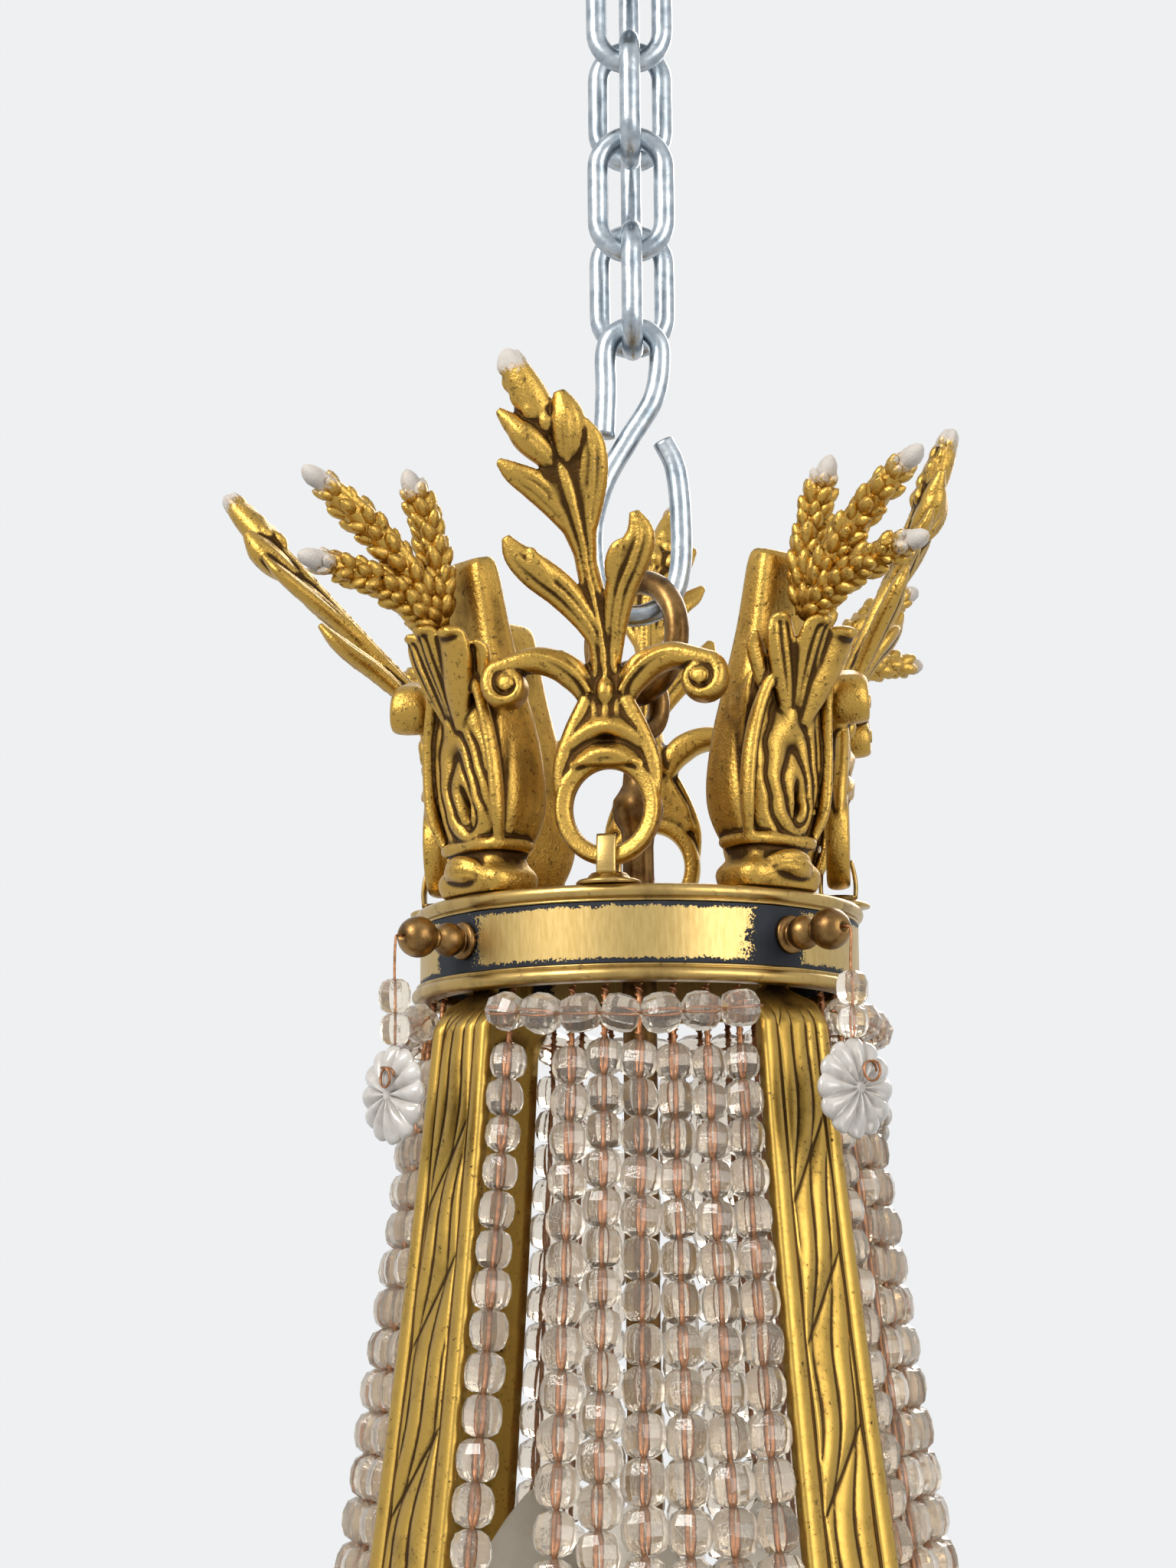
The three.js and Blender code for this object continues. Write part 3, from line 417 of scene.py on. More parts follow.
PLATE_RADIUS, PLATE_THICK, STAPLE_DROPS = 44.0, 5.0, (30.0, 22.0)
SCREW_R, SCREW_AZIMUTHS = 30, (40, 140, 220, 320)
plate_top = (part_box("ceiling_plate")[1].z - PLACE) * 1000
under = plate_top - PLATE_THICK
plate_profile = [(0, under), (37, under), (38, under - 0.5), (39, under), (42.6, under), (43.6, under + 0.6),
                 (PLATE_RADIUS, under + 1.8), (PLATE_RADIUS, plate_top - 0.3),
                 (PLATE_RADIUS - 0.3, plate_top), (0, plate_top)]
screw = turned([(0, 0), (3.6, 0), (3.4, -1.2), (2.2, -2), (0, -2.2)], 20, loop=False)
screws = [moved(screw, (0, -SCREW_R, under), azimuth) for azimuth in SCREW_AZIMUTHS]
staples = [moved(staple(drop, broad), (0, back, under), CHAIN_TURN)
           for drop, broad, back in zip(STAPLE_DROPS, (False, True), (0, STRAND_GAP))]
piece("ceiling_plate_disc", [turned(plate_profile, loop=False), *screws, *staples], zinc, "ceiling_plate",
      body="ceiling", slot="zinc")

# S-hook and suspension ring. The hook is one bent length of zinc plated 5.8 mm rod: the strand's last link
# sits in its top bend, and a cast bronze ring rides in its foot, turned half across it.
HOOK_WIRE, HOOK_TOP_R, HOOK_FOOT_R, HOOK_TOP_Z, HOOK_FOOT_Z = 5.8, 7.4, 11.6, 185.7, 104.7
RING_TURN = CHAIN_TURN - 45
RING_R, RING_WIRE, RING_Z = 15.4, 6.6, 98.4
# x, and z below the top bend's crown or above the foot bend's
upper_bends = [(-8, 31), (-HOOK_TOP_R, 18), (-HOOK_TOP_R, HOOK_TOP_R), (-0.7 * HOOK_TOP_R, 0.29 * HOOK_TOP_R),
               (0, 0), (0.7 * HOOK_TOP_R, 0.29 * HOOK_TOP_R), (HOOK_TOP_R, HOOK_TOP_R), (5.6, 20),
               (-1.5, 32), (-8.6, 45), (-HOOK_FOOT_R, 60)]
lower_bends = [(-0.75 * HOOK_FOOT_R, 0.34 * HOOK_FOOT_R), (0, 0), (0.75 * HOOK_FOOT_R, 0.34 * HOOK_FOOT_R),
               (HOOK_FOOT_R + 0.6, 13), (HOOK_FOOT_R + 0.9, 28), (HOOK_FOOT_R - 0.4, 41),
               (HOOK_FOOT_R - 3.6, 48.5)]
hook_bends = [(x, 0, HOOK_TOP_Z - z) for x, z in upper_bends]
hook_bends += [(x, 0, HOOK_FOOT_Z + z) for x, z in lower_bends]
hook_rod = rod(smooth_path(hook_bends, 150), (0, 1, 0), HOOK_WIRE / 2, sides=20, square=0.96)
piece("s_hook_rod", [moved(hook_rod, azimuth=CHAIN_TURN)], zinc, "s_hook", body="hook", slot="zinc")


def circle(radius, steps=64):
    """A circle about the origin in the x-z plane: radius times sine and cosine of an even angle."""
    angle = even_angles(steps)
    return np.stack([radius * np.sin(angle), 0 * angle, radius * np.cos(angle)], 1)


bronze, shader, field, place = finish_of("rubbed_bronze")
cloud = noise(field, place, 190, 4)
grain = noise(field, place, 1500, 2)
feed(shader, Metallic=1.0, Base_Color=cloud.step(0.32, 0.7).mix((0.1, 0.05, 0.018), (0.34, 0.2, 0.07)),
     Roughness=0.26 + grain * 0.2, Normal=bump(field, grain, 0.00008, 0.6))
cast_ring = rod(circle(RING_R), (0, 1, 0), RING_WIRE / 2, sides=20, loop=True)
piece("cast_ring", [moved(cast_ring, (0, 0, RING_Z), RING_TURN)], bronze, "suspension_ring",
      body="ring", slot="bronze")

# Stem. A turned bronze rod with an eye at its top that hangs in the ring; it passes through the crown plate
# and carries the lamps and the finial. Knops and fillets are turned on it where it shows.
EYE_R, EYE_WIRE, EYE_Z = 8.5, 6.0, 81.1
STEM_R, STEM_FOOT = 4.5, -396.5
stem_profile = [(0, STEM_FOOT), (4.2, STEM_FOOT), (STEM_R, STEM_FOOT + 0.4), (STEM_R, 8), (STEM_R, 26),
                (5.6, 26.6), (6.2, 28), (5.6, 29.4), (4.6, 30.2), (4.2, 34), (4.1, 42), (4.6, 46),
                (6.2, 48.6), (6.9, 51.5), (6.5, 54.4), (5, 56.6), (4, 58.4), (3.7, 62), (3.9, 66),
                (4.4, 69), (3.2, 72.4), (0, 73.6)]
stem_eye = rod(circle(EYE_R, 48), (0, 1, 0), EYE_WIRE / 2, sides=18, loop=True)
piece("turned_stem", [turned(stem_profile, 48, loop=False), moved(stem_eye, (0, 0, EYE_Z), RING_TURN + 90)],
      bronze, "stem", slot="bronze")


# Crown plate and nut. A spun brass plate closes the top of the crown and rests on the upper rim's lip; a
# hexagonal nut under it holds it to the stem. Its upper side has painted shade in the grooves between chased
# rings.
def read_points(mesh, key):
    """The mesh's vertices' places or normals, key co or normal, as rows of three numbers."""
    values = np.empty(3 * len(mesh.vertices))
    mesh.vertices.foreach_get(key, values)
    return values.reshape(-1, 3)


def store(mesh, name, values):
    """Keeps one number a vertex under a name, for a material to read."""
    mesh.attributes.new(name, "FLOAT", "POINT").data.foreach_set("value", values.astype(np.float32))


def hollows(made, rounds):
    """Stores how far each point lies below the mean of its surroundings, in mm: above 0 in hollows, below 0
    on ridges; the gilt finishes paint shade into hollows with it. The mean is spread over the mesh's edges,
    round by round."""
    mesh = made.data
    count = len(mesh.vertices)
    points, normals = read_points(mesh, "co") * 1000, read_points(mesh, "normal")
    edges = np.empty(2 * len(mesh.edges), int)
    mesh.edges.foreach_get("vertices", edges)
    a, b = edges.reshape(-1, 2).T
    shares = np.bincount(edges, minlength=count)
    mean = points
    for _ in range(rounds):
        mean = np.stack([(np.bincount(a, mean[b, k], count) + np.bincount(b, mean[a, k], count)) / shares
                         for k in range(3)], 1)
    store(mesh, "hollow", np.sum((mean - points) * normals, 1))


worn_gilt, shader, field, place = finish_of("worn_gilding")
hollow = field.node("ShaderNodeAttribute", {"attribute_name": "hollow"}, output=2)
cloud = noise(field, place, 120, 5, 0.6)
fleck = noise(field, place, 900, 3, 0.7)
# Painted shade and wear: the gilding turns dark brown in hollows, where shade falls, and in cloudy patches.
shade_and_wear = (hollow * 9 + 0.4 + (cloud - 0.5) * 1.2).step(0.15, 0.9)
ground = shade_and_wear.mix((0.47, 0.3, 0.068), (0.06, 0.032, 0.01))
stains = (fleck.step(0.58, 0.66) * cloud.step(0.45, 0.6)).mix(ground, (0.05, 0.028, 0.012))
feed(shader, Metallic=1.0, Base_Color=stains, Roughness=0.28 + fleck * 0.22 + shade_and_wear * 0.1,
     Normal=bump(field, fleck, 0.00012, 0.5))

PLATE_TOP, PLATE_GROOVE, PLATE_EDGE, PLATE_BORE = 23.6, 23.2, 52.9, 4.8
plate_rings = [(PLATE_BORE, 18.6), (14, 18.6), (17, 20.6), (PLATE_EDGE, 20.6), (PLATE_EDGE, PLATE_GROOVE),
               (52.4, PLATE_TOP), (46, PLATE_TOP), (45.6, PLATE_GROOVE), (44.8, PLATE_GROOVE),
               (44.4, PLATE_TOP), (30, PLATE_TOP), (29.6, PLATE_GROOVE), (28.8, PLATE_GROOVE),
               (28.4, PLATE_TOP), (14, PLATE_TOP), (13, PLATE_GROOVE), (12, 23.5), (PLATE_BORE, 23.5)]
hollows(piece("spun_crown_plate", [turned(plate_rings, 128)], worn_gilt, "crown_plate",
              slot="worn_gilt"), 2)

brass, shader, field, place = finish_of("satin_brass")
sheet = field.node("ShaderNodeMapping", inputs={"Vector": place, "Scale": (1, 1, 9)})
brushed = noise(field, sheet, 420, 3)
stain = noise(field, place, 70, 5, 0.65)
spot = noise(field, place, 420, 3, 0.6)
tarnish = (stain.step(0.5, 0.75) * 0.75 + spot.step(0.62, 0.72) * 0.6).step(0.0, 1.0)
feed(shader, Metallic=1.0, Base_Color=tarnish.mix((0.47, 0.32, 0.11), (0.12, 0.07, 0.03)),
     Roughness=0.24 + brushed * 0.18 + tarnish * 0.12, Normal=bump(field, brushed, 0.00006, 0.6))
NUT_TOP, NUT_H, NUT_R = 18.3, 7, 8.2
nut_shape = [(5.5, NUT_TOP - NUT_H), (7.4, NUT_TOP - NUT_H), (NUT_R, NUT_TOP - 6.3), (NUT_R, NUT_TOP - 0.7),
             (7.4, NUT_TOP), (5.5, NUT_TOP)]
piece("hexagonal_nut", [turned(nut_shape, 6)], brass, "stem_nut", slot="brass", smooth=False)

# Band. A drum with a blue-black patina, and on each quarter a gilt panel whose edges are flaked away. Two
# moulded brass rims grip it: a half round with a fillet towards the drum.
BAND_R, BAND_H, RIM_H, FIELD_R, RIM_LIP = 60.0, 24.0, 4.2, 57.8, 6.0
PANEL_HALF, PANEL_TURN, PANEL_RISE = 36.5, 3.5, 6.4  # degrees to each side, degrees off, mm up and down
drum_paint, shader, field, place = finish_of("patinated_drum")
split = field.node("ShaderNodeSeparateXYZ", inputs={"Vector": place})
sideways, forwards, height = (Field(split.tree, socket) for socket in split.socket.node.outputs)
angle = field.math("ARCTAN2", sideways, forwards * -1) * (180 / math.pi)
quarter = field.math("MODULO", angle + (720 + PANEL_TURN + 45), 90) - 45
quarter = field.math("ABSOLUTE", quarter)
level = (height - (PLACE + (BAND_H / 2) * 0.001)) * 1000
flake = noise(field, place, 260, 6, 0.72)
coarse = noise(field, place, 75, 3, 0.6)
speck = noise(field, place, 1500, 2, 0.6)
edge_across = PANEL_HALF - quarter + (flake - 0.5) * 9 + (coarse - 0.5) * 8 + (speck - 0.5) * 11
edge_along = PANEL_RISE - field.math("ABSOLUTE", level)
edge_along = edge_along + (flake - 0.5) * 2.6 + (coarse - 0.5) * 1.4 + (speck - 0.5) * 2.4
gilding = field.math("MINIMUM", edge_across.step(0.0, 0.5), edge_along.step(0.0, 0.16))
# Upright light and dark streaks on the gilt panels: fine scratches, with painted reflection in their upright
# bands.
streaks = field.node("ShaderNodeMapping", inputs={"Vector": place, "Scale": (1, 1, 0.16)})
scratches_and_reflections = noise(field, streaks, 1300, 3, 0.6)
bare = scratches_and_reflections.step(0.3, 0.7).mix((0.45, 0.31, 0.11), (0.55, 0.4, 0.16))
patina = coarse.step(0.3, 0.7).mix((0.006, 0.008, 0.012), (0.022, 0.027, 0.038))
feed(shader, Metallic=gilding, Base_Color=gilding.mix(patina, bare), Specular_IOR_Level=0.25,
     Roughness=0.5 - gilding * 0.18 + flake * 0.14,
     Normal=bump(field, gilding * 0.6 + scratches_and_reflections * 0.12, 0.00012, 0.7))
drum_wall = [(54.6, 4.5), (FIELD_R, 4.5), (FIELD_R, 19.5), (54.6, 19.5)]
piece("drum", [turned(drum_wall, 192)], drum_paint, "band_drum", slot="field", smooth=False)


def rim_profile(outer, low, up):
    """Radius and height pairs of a rim: a lip, a half round of 1.5 by 1.7 mm, and a fillet."""
    round_part = [(outer - 1.5 + 1.5 * math.cos(a), 1.7 + 1.7 * math.sin(a))
                  for a in np.linspace(-math.pi / 2, math.pi / 2, 13)]
    pairs = [(outer - RIM_LIP, 0), *round_part, (outer - 1.7, 3.5), (outer - 1.2, 3.7), (outer - 1.2, RIM_H),
             (outer - RIM_LIP, RIM_H)]
    return [(r, low + (h if up else RIM_H - h)) for r, h in pairs]


lower_rim, upper_rim = rim_profile(BAND_R, 0, True), rim_profile(BAND_R - 0.8, BAND_H - RIM_H, False)
piece("lower_rim", [turned(lower_rim, 192)], brass, "bottom_rim", slot="brass")
piece("upper_rim", [turned(upper_rim, 192)], brass, "top_rim", slot="brass")

# Ring palmettes. Four cast and chased bronze ornaments, gilt: a pierced ring with rolled arms, and a leafy
# stalk with a bud, bent outwards and sideways by hand over the years. The gilding has gone at the bud's tip.
LEAN, SWAY, STAND = (15, 22, 19, 41), (-15, 4, -5, 6), (-3.5, 0, 0, 0)  # degrees, for each palmette
QUARTERS = [90 * k + STAND[k] for k in range(4)]
SEAT_Y = -52.8
NECK, BUD_TIP = (0, SEAT_Y, 75.0), (0.2, -1.2, 87.6)
HOLE_Z = 43.7
VOXEL = 0.5  # mm, the grain of a fused skin


def cast(made):
    """Fuses a piece's overlapping shells into one cast skin: a voxel remesh, then each point is moved
    towards its neighbours a few times. Its hollows are kept for the painted shade and dirt in them."""
    remesh = made.modifiers.new("fuse", "REMESH")
    remesh.mode, remesh.voxel_size, remesh.use_smooth_shade = "VOXEL", VOXEL * 0.001, True
    ease = made.modifiers.new("ease", "SMOOTH")
    ease.factor, ease.iterations = 0.5, 4
    fused = bpy.data.meshes.new_from_object(made.evaluated_get(bpy.context.evaluated_depsgraph_get()))
    made.modifiers.clear()
    paint = made.data.materials[0]
    made.data = fused
    fused.materials.clear()
    fused.materials.append(paint)
    fused.polygons.foreach_set("use_smooth", np.ones(len(fused.polygons), bool))
    hollows(made, 10)


def bare_tips(made, tips):
    """Stores how near each point is to a worn tip: 1 within 3 mm, 0 beyond 10 mm."""
    points = read_points(made.data, "co")[:, None]
    gap = np.linalg.norm(points - in_part(tips), axis=2).min(1) * 1000
    store(made.data, "tip", np.clip((10 - gap) / 7, 0, 1))


gilt, shader, field, place = finish_of("chased_gilding")
hollow = field.node("ShaderNodeAttribute", {"attribute_name": "hollow"}, output=2)
tip = field.node("ShaderNodeAttribute", {"attribute_name": "tip"}, output=2)
cloud = noise(field, place, 95, 5, 0.6)
grain = noise(field, place, 1400, 3, 0.6)
pits = noise(field, place, 620, 3, 0.7)
# Painted shade and dirt: the gold turns dark brown in hollows, where shade falls, and in cloudy patches.
shade_and_dirt = (hollow * 7.5 + 0.36 + (cloud - 0.5) * 1.5).step(0.1, 0.95)
metal = shade_and_dirt.mix((0.49, 0.3, 0.066), (0.06, 0.03, 0.009))
metal = (pits.step(0.58, 0.68) * 0.75).mix(metal, (0.05, 0.028, 0.012))
white = (tip + (grain - 0.5) * 1.3 + (cloud - 0.5) * 1.6).step(0.45, 0.8)
feed(shader, Metallic=1 - white, Base_Color=white.mix(metal, (0.6, 0.55, 0.5)),
     Roughness=0.27 + grain * 0.16 + shade_and_dirt * 0.16 + white * 0.3,
     Normal=bump(field, grain + pits * 0.6, 0.00022, 0.8))


def profile(values, count):
    """Equally spaced values joined by a smooth curve, at count places."""
    return smooth_path(np.asarray(values, float)[:, None], count)[:, 0]


def blade(points, widths, thick, ribs=0.0, count=26, side=(1, 0, 0)):
    """A leaf or bud along a smooth path: half widths and thicknesses run through the given values; ribs
    deepens grooves along it, the thickness times 1 + ribs cos(3.2 pi cos a) round its section."""
    path = smooth_path(points, count)
    _, sideways, normal = frames(path, side)
    a = even_angles(28)
    wide, deep = (profile(values, count)[:, None] for values in (widths, thick))
    groove = 1 + ribs * np.cos(3.2 * math.pi * np.cos(a))
    return skin(path, sideways, normal, wide * np.cos(a), deep * np.sin(a) * groove)


def bent(shell, lean, sway):
    """A stalk's part, made upright about its neck, leant outwards and then swayed sideways."""
    x, y, z = shell[0].T
    a, b = math.radians(lean), math.radians(sway)
    y, z = y * math.cos(a) - z * math.sin(a), y * math.sin(a) + z * math.cos(a)
    x, z = x * math.cos(b) + z * math.sin(b), -x * math.sin(b) + z * math.cos(b)
    return np.stack([x, y, z], 1) + NECK, shell[1]


def turn_all(shells, azimuth):
    """Each shell turned about the object's axis."""
    return [moved(shell, azimuth=azimuth) for shell in shells]


def pair(points, *rest, **more):
    """A blade and its mirror image about the middle."""
    flip = [(-x, y, z) for x, y, z in points]
    return [blade(points, *rest, **more), blade(flip, *rest, **more)]


def hole_loop(half_width, half_height, y):
    """An oval about the palmette's hole: its half width times sine, its half height times cosine."""
    a = even_angles(72)
    return np.stack([half_width * np.sin(a), 0 * a + y, HOLE_Z + half_height * np.cos(a)], 1)


def hood_shell():
    """The plate over the hole, on rows from the ring up to the neck: a dome across its half width, raised by
    a brow and a lip that run along arcs about the hole, with a furrow between them that is deepest in the
    middle, and by a few upright flutes near the neck."""
    z = np.linspace(54.2, 78.5, 60)[:, None]
    half = np.interp(z, (50, 55, 61, 66, 70, 74, 79), (12.2, 12, 10.2, 7.4, 5.2, 4, 3.2))
    a = np.linspace(0, math.pi, 41)
    x = half * np.cos(a)
    arc = np.hypot(1.25 * x, z - HOLE_Z)
    relief = 1.5 * hump(arc, 20.3, 1.9) + 1.3 * hump(arc, 13.6, 1.6)
    relief -= (0.8 + 2.6 * hump(x, 0, 2.2)) * hump(arc, 17, 1.1)
    relief += 0.55 * np.cos(2 * math.pi * x / 3.1) * np.clip((z - 66) / 5, 0, 1)
    front = np.stack([x, -53.6 - (3 + relief) * np.sin(a) ** 0.7, z + 0 * x], -1)
    back_x = half * np.cos(a[::-1])
    back = np.stack([back_x, -51.6 + 1.4 * np.sin(a) + 0 * back_x, z + 0 * back_x], -1)
    return surface(np.concatenate([front, back], 1))


side_rib = [(11.8, -53.6, 44), (11.6, -54, 54), (8.6, -54.6, 63), (4.8, -54.8, 71), (2.6, -54, 78)]
neck_bead = [(0, -54.4, 69), (0, -56.6, 71.6), (0, -56.6, 74), (0, -55, 77)]
plate_shells = [
    rod(hole_loop(11.2, 12.2, SEAT_Y), (0, 1, 0), 3.0, 2.3, 20, loop=True, square=0.7),
    rod(hole_loop(12.1, 13.1, -55.2), (0, 1, 0), 0.9, 1.0, 10, loop=True),
    hood_shell(),
    *pair(side_rib, (1.4, 2.2, 2.3, 2.1, 1.2), (1, 1.9, 2, 1.9, 1.2)),
    blade(neck_bead, (1, 1.9, 2, 1), (1, 1.6, 1.6, 1)),
]

# the arms: a bar led out from the neck, then rolled up 1.35 turns about a hub
HUB_X, HUB_Y, HUB_Z, ROLL_TURNS = 24.4, -57.2, 74.7, 1.35
roll = np.linspace(0, 1, 44)
roll_angle = np.radians(15) + roll * 2 * math.pi * ROLL_TURNS
roll_r = 5.3 - 3.6 * roll
roll_x, roll_z = HUB_X + roll_r * np.sin(roll_angle), HUB_Z + roll_r * np.cos(roll_angle)
arm_lead = smooth_path([(2.2, -53, 68.5), (5.8, -53.8, 75), (10.8, -55, 79.4), (17, -56.4, 81.2),
                        (23.6, HUB_Y, 80)], 34)
arm_path = np.concatenate([arm_lead[:-2], np.stack([roll_x, HUB_Y + 0 * roll, roll_z], 1)[2:]])
arm_at = np.linspace(0, 1, len(arm_path))
arm_wide = np.interp(arm_at, (0, 0.15, 0.4, 0.55, 1), (2.6, 3.6, 4.6, 5.2, 4.2))
arm_thick = np.interp(arm_at, (0, 0.18, 0.36, 0.5, 0.62, 1), (3.2, 4.0, 3.3, 2.2, 1.7, 1.1))
ridge_line = arm_path[4:40] + np.array([0, -3.6, 0.6])
for sign in (1, -1):
    hub_line = [(sign * HUB_X, y, HUB_Z) for y in (-53, -57, -62.6)]
    plate_shells += [rod(arm_path * (sign, 1, 1), (0, 1, 0), arm_wide, arm_thick, 18, square=0.8),
                     rod(ridge_line * (sign, 1, 1), (0, 1, 0), 1.2, 0.8, 8),
                     blade(hub_line, (1.4, 2.4, 1.8), (1.4, 2.4, 1.8), count=8)]
plate_shells += pair([(4, -55, 73), (8.4, -56.6, 79), (11.4, -57, 83.4)],
                     (1.6, 2.8, 0.7), (1.2, 1.8, 0.6), 0.15)

# the stalk's blades: points, half widths, half thicknesses, depth of the ribs, rings
STALK_BLADES = [
    ([(0, 0.4, -5), (0.8, 0, 4), (2.7, 0, 13.8), (3.9, 0, 29), (5.6, 0, 47.2), (5.5, 0, 62), (3.6, -0.4, 72)],
     (5, 4.2, 3.7, 2.9, 2.8, 2.4, 1.8), (3.4, 3.2, 2.8, 2.4, 2.2, 2, 1.6), 0.2, 48),
    # lowest pair of leaves, whose ribs run down into the stalk, each with a small leaf on it
    ([(1.6, -0.6, 5), (0.4, -1.4, 15), (-3.4, -2.4, 25), (-8.4, -3.6, 32.4), (-11.8, -4.2, 38),
      (-13, -4.6, 43)],
     (1.8, 3, 4.3, 4.5, 3.4, 1.2), (1.2, 2, 2.4, 2.4, 1.9, 0.8), 0.17),
    ([(-4, -3, 26), (-6.4, -4.2, 31), (-8, -5, 35.4), (-7.6, -5, 38.6)],
     (1.8, 2.9, 2.4, 0.8), (1.4, 1.9, 1.5, 0.6)),
    ([(3.6, -0.6, 5), (6.6, -1.4, 14), (11, -2.4, 22.6), (16, -3.6, 28.6), (19.4, -4.2, 33.8),
      (19.6, -4.4, 39.6)],
     (1.8, 3.2, 4.2, 4.4, 3.8, 1.3), (1.2, 2, 2.4, 2.3, 1.9, 0.8), 0.17),
    ([(9.4, -2.4, 22), (10.8, -3.8, 27.4), (13, -4.8, 31.6), (15.6, -5.4, 33.6)],
     (1.8, 2.7, 2.3, 0.8), (1.4, 1.8, 1.5, 0.6)),
    # calyx: a fan of ribs that opens into two hooked leaves
    ([(4.4, 0, 31), (5.2, -1, 41), (5.6, -1.8, 50), (5.4, -2.4, 57)],
     (2.6, 4.8, 7, 6), (2, 2.6, 2.6, 1.3), 0.2, 36),
    ([(4.2, -0.6, 37), (1.2, -1.6, 46), (-2.4, -2.8, 53), (-6.2, -4.2, 57.4), (-9.2, -4.6, 61.6)],
     (2, 3.4, 3.9, 3, 1), (1.6, 2.1, 2.1, 1.6, 0.7), 0.14),
    ([(6.4, -0.6, 37), (9.6, -1.6, 45), (12.6, -2.6, 52), (14.6, -3.4, 59), (14.4, -3.6, 65)],
     (2, 3.5, 3.9, 3.2, 1), (1.6, 2.1, 2.1, 1.7, 0.7), 0.14),
    # buds under the tip, and the long scaly bud at the top
    ([(4.6, -1, 55), (1.6, -2.6, 61), (-1.4, -3.6, 66), (-3.8, -3.6, 71)],
     (2, 3.7, 3.6, 1.2), (1.6, 3.1, 3.1, 1.2), 0.08),
    ([(6.4, -1, 55), (9, -2.8, 61), (10.6, -3.4, 67.4), (10.4, -3, 73.6)],
     (2, 4.2, 4.2, 1.5), (1.8, 3.5, 3.5, 1.4), 0.08),
    ([(3.4, -0.6, 60), (0.6, -2.2, 64), (-2.6, -3, 68.4), (-5.6, -3, 73.6)],
     (1.8, 3, 2.9, 1), (1.6, 2.6, 2.6, 1)),
    ([(4.6, -0.6, 63), (3.6, -0.9, 70), (2.2, -1.1, 78), (0.8, -1.2, 85.2), BUD_TIP],
     (2.4, 4.6, 4.3, 2.6, 0.8), (2.2, 3.8, 3.6, 2.2, 0.8), 0, 30),
]
stalk_shells = [blade(*row) for row in STALK_BLADES]
BUD_ROWS, BUD_SCALES = 5, 5
for row in range(BUD_ROWS):
    for at in range(BUD_SCALES):
        a = 2 * math.pi * (at + 0.5 * (row % 2)) / BUD_SCALES
        up, bulk = 66.5 + 4.1 * row, 4.1 - 0.46 * row
        x, y = bulk * math.cos(a), bulk * 0.85 * math.sin(a)
        scale = [(4 - 0.19 * (up - 66) + x * k, -0.8 + y * k, up + rise)
                 for k, rise in ((0.75, -2), (1.02, 0.4), (0.96, 3.8))]
        stalk_shells.append(blade(scale, (1.1, 1.9, 0.6), (0.9, 1.3, 0.5), count=6))

for k, azimuth in enumerate(QUARTERS):
    shells = turn_all(plate_shells + [bent(shell, LEAN[k], SWAY[k]) for shell in stalk_shells], azimuth)
    made = piece(f"ring_palmette_{k + 1}", shells, gilt, f"palmette_{k + 1}", slot="gilt")
    cast(made)
    bare_tips(made, turn_about_z(bent((np.array([BUD_TIP]), None), LEAN[k], SWAY[k])[0], azimuth))


# Palmette feet. A turned brass saucer on the upper rim, with a folded clip that grips the ring's lower edge.
def quartet(name, shells, material, node, azimuths, slot):
    """Four pieces of one shape, numbered from 1, turned to their azimuths."""
    return [piece(f"{name}_{k + 1}", turn_all(shells, azimuth), material, f"{node}_{k + 1}", slot=slot)
            for k, azimuth in enumerate(azimuths)]


saucer = [(0, 24.3), (8.2, 24.3), (8.2, 24.9), (7.6, 25.4), (5.6, 25.8), (5, 26.6), (4.4, 27.2), (0, 27.4)]
cup = moved(turned(saucer, 40, loop=False), (0, SEAT_Y, 0))
outer_leg = [(0, -57.2, 26.6), (0, -57.4, 30), (0, -57, 33.6), (0, -56.2, 36.6)]
inner_leg = [(0, -48.4, 26.6), (0, -48.2, 30), (0, -48.4, 34.2)]
bottom = [(0, -57.4, 27), (0, -53, 27.2), (0, -48.2, 27)]
clip = [rod(smooth_path(points, count), (1, 0, 0), 2.5, thick, 12, square=0.5)
        for points, count, thick in ((outer_leg, 12, 0.6), (inner_leg, 8, 0.6), (bottom, 8, 0.5))]
quartet("palmette_clip", [cup, *clip], brass, "palmette_foot", QUARTERS, "brass")

# Scroll consoles. A cast gilt console stands at each corner: a moulded foot, a deep smooth bar that curves
# out to a blunt top, and on its front a scroll of nested ridges round a low eye, under a collar of acanthus.
CORNERS = (45, 135, 225, 315)
SCROLL_HALF, SCROLL_MIDDLE, SCROLL_RISE, EYE_T, EYE_UP = 12.6, 59.0, 27.0, 3.0, 46.0


def arch(x, power):
    """A rounded rise of height 1 between -1 and 1: the square root of 1 - x to the power, 0 beyond."""
    return np.sqrt(np.clip(1 - x**power, 0, 1))


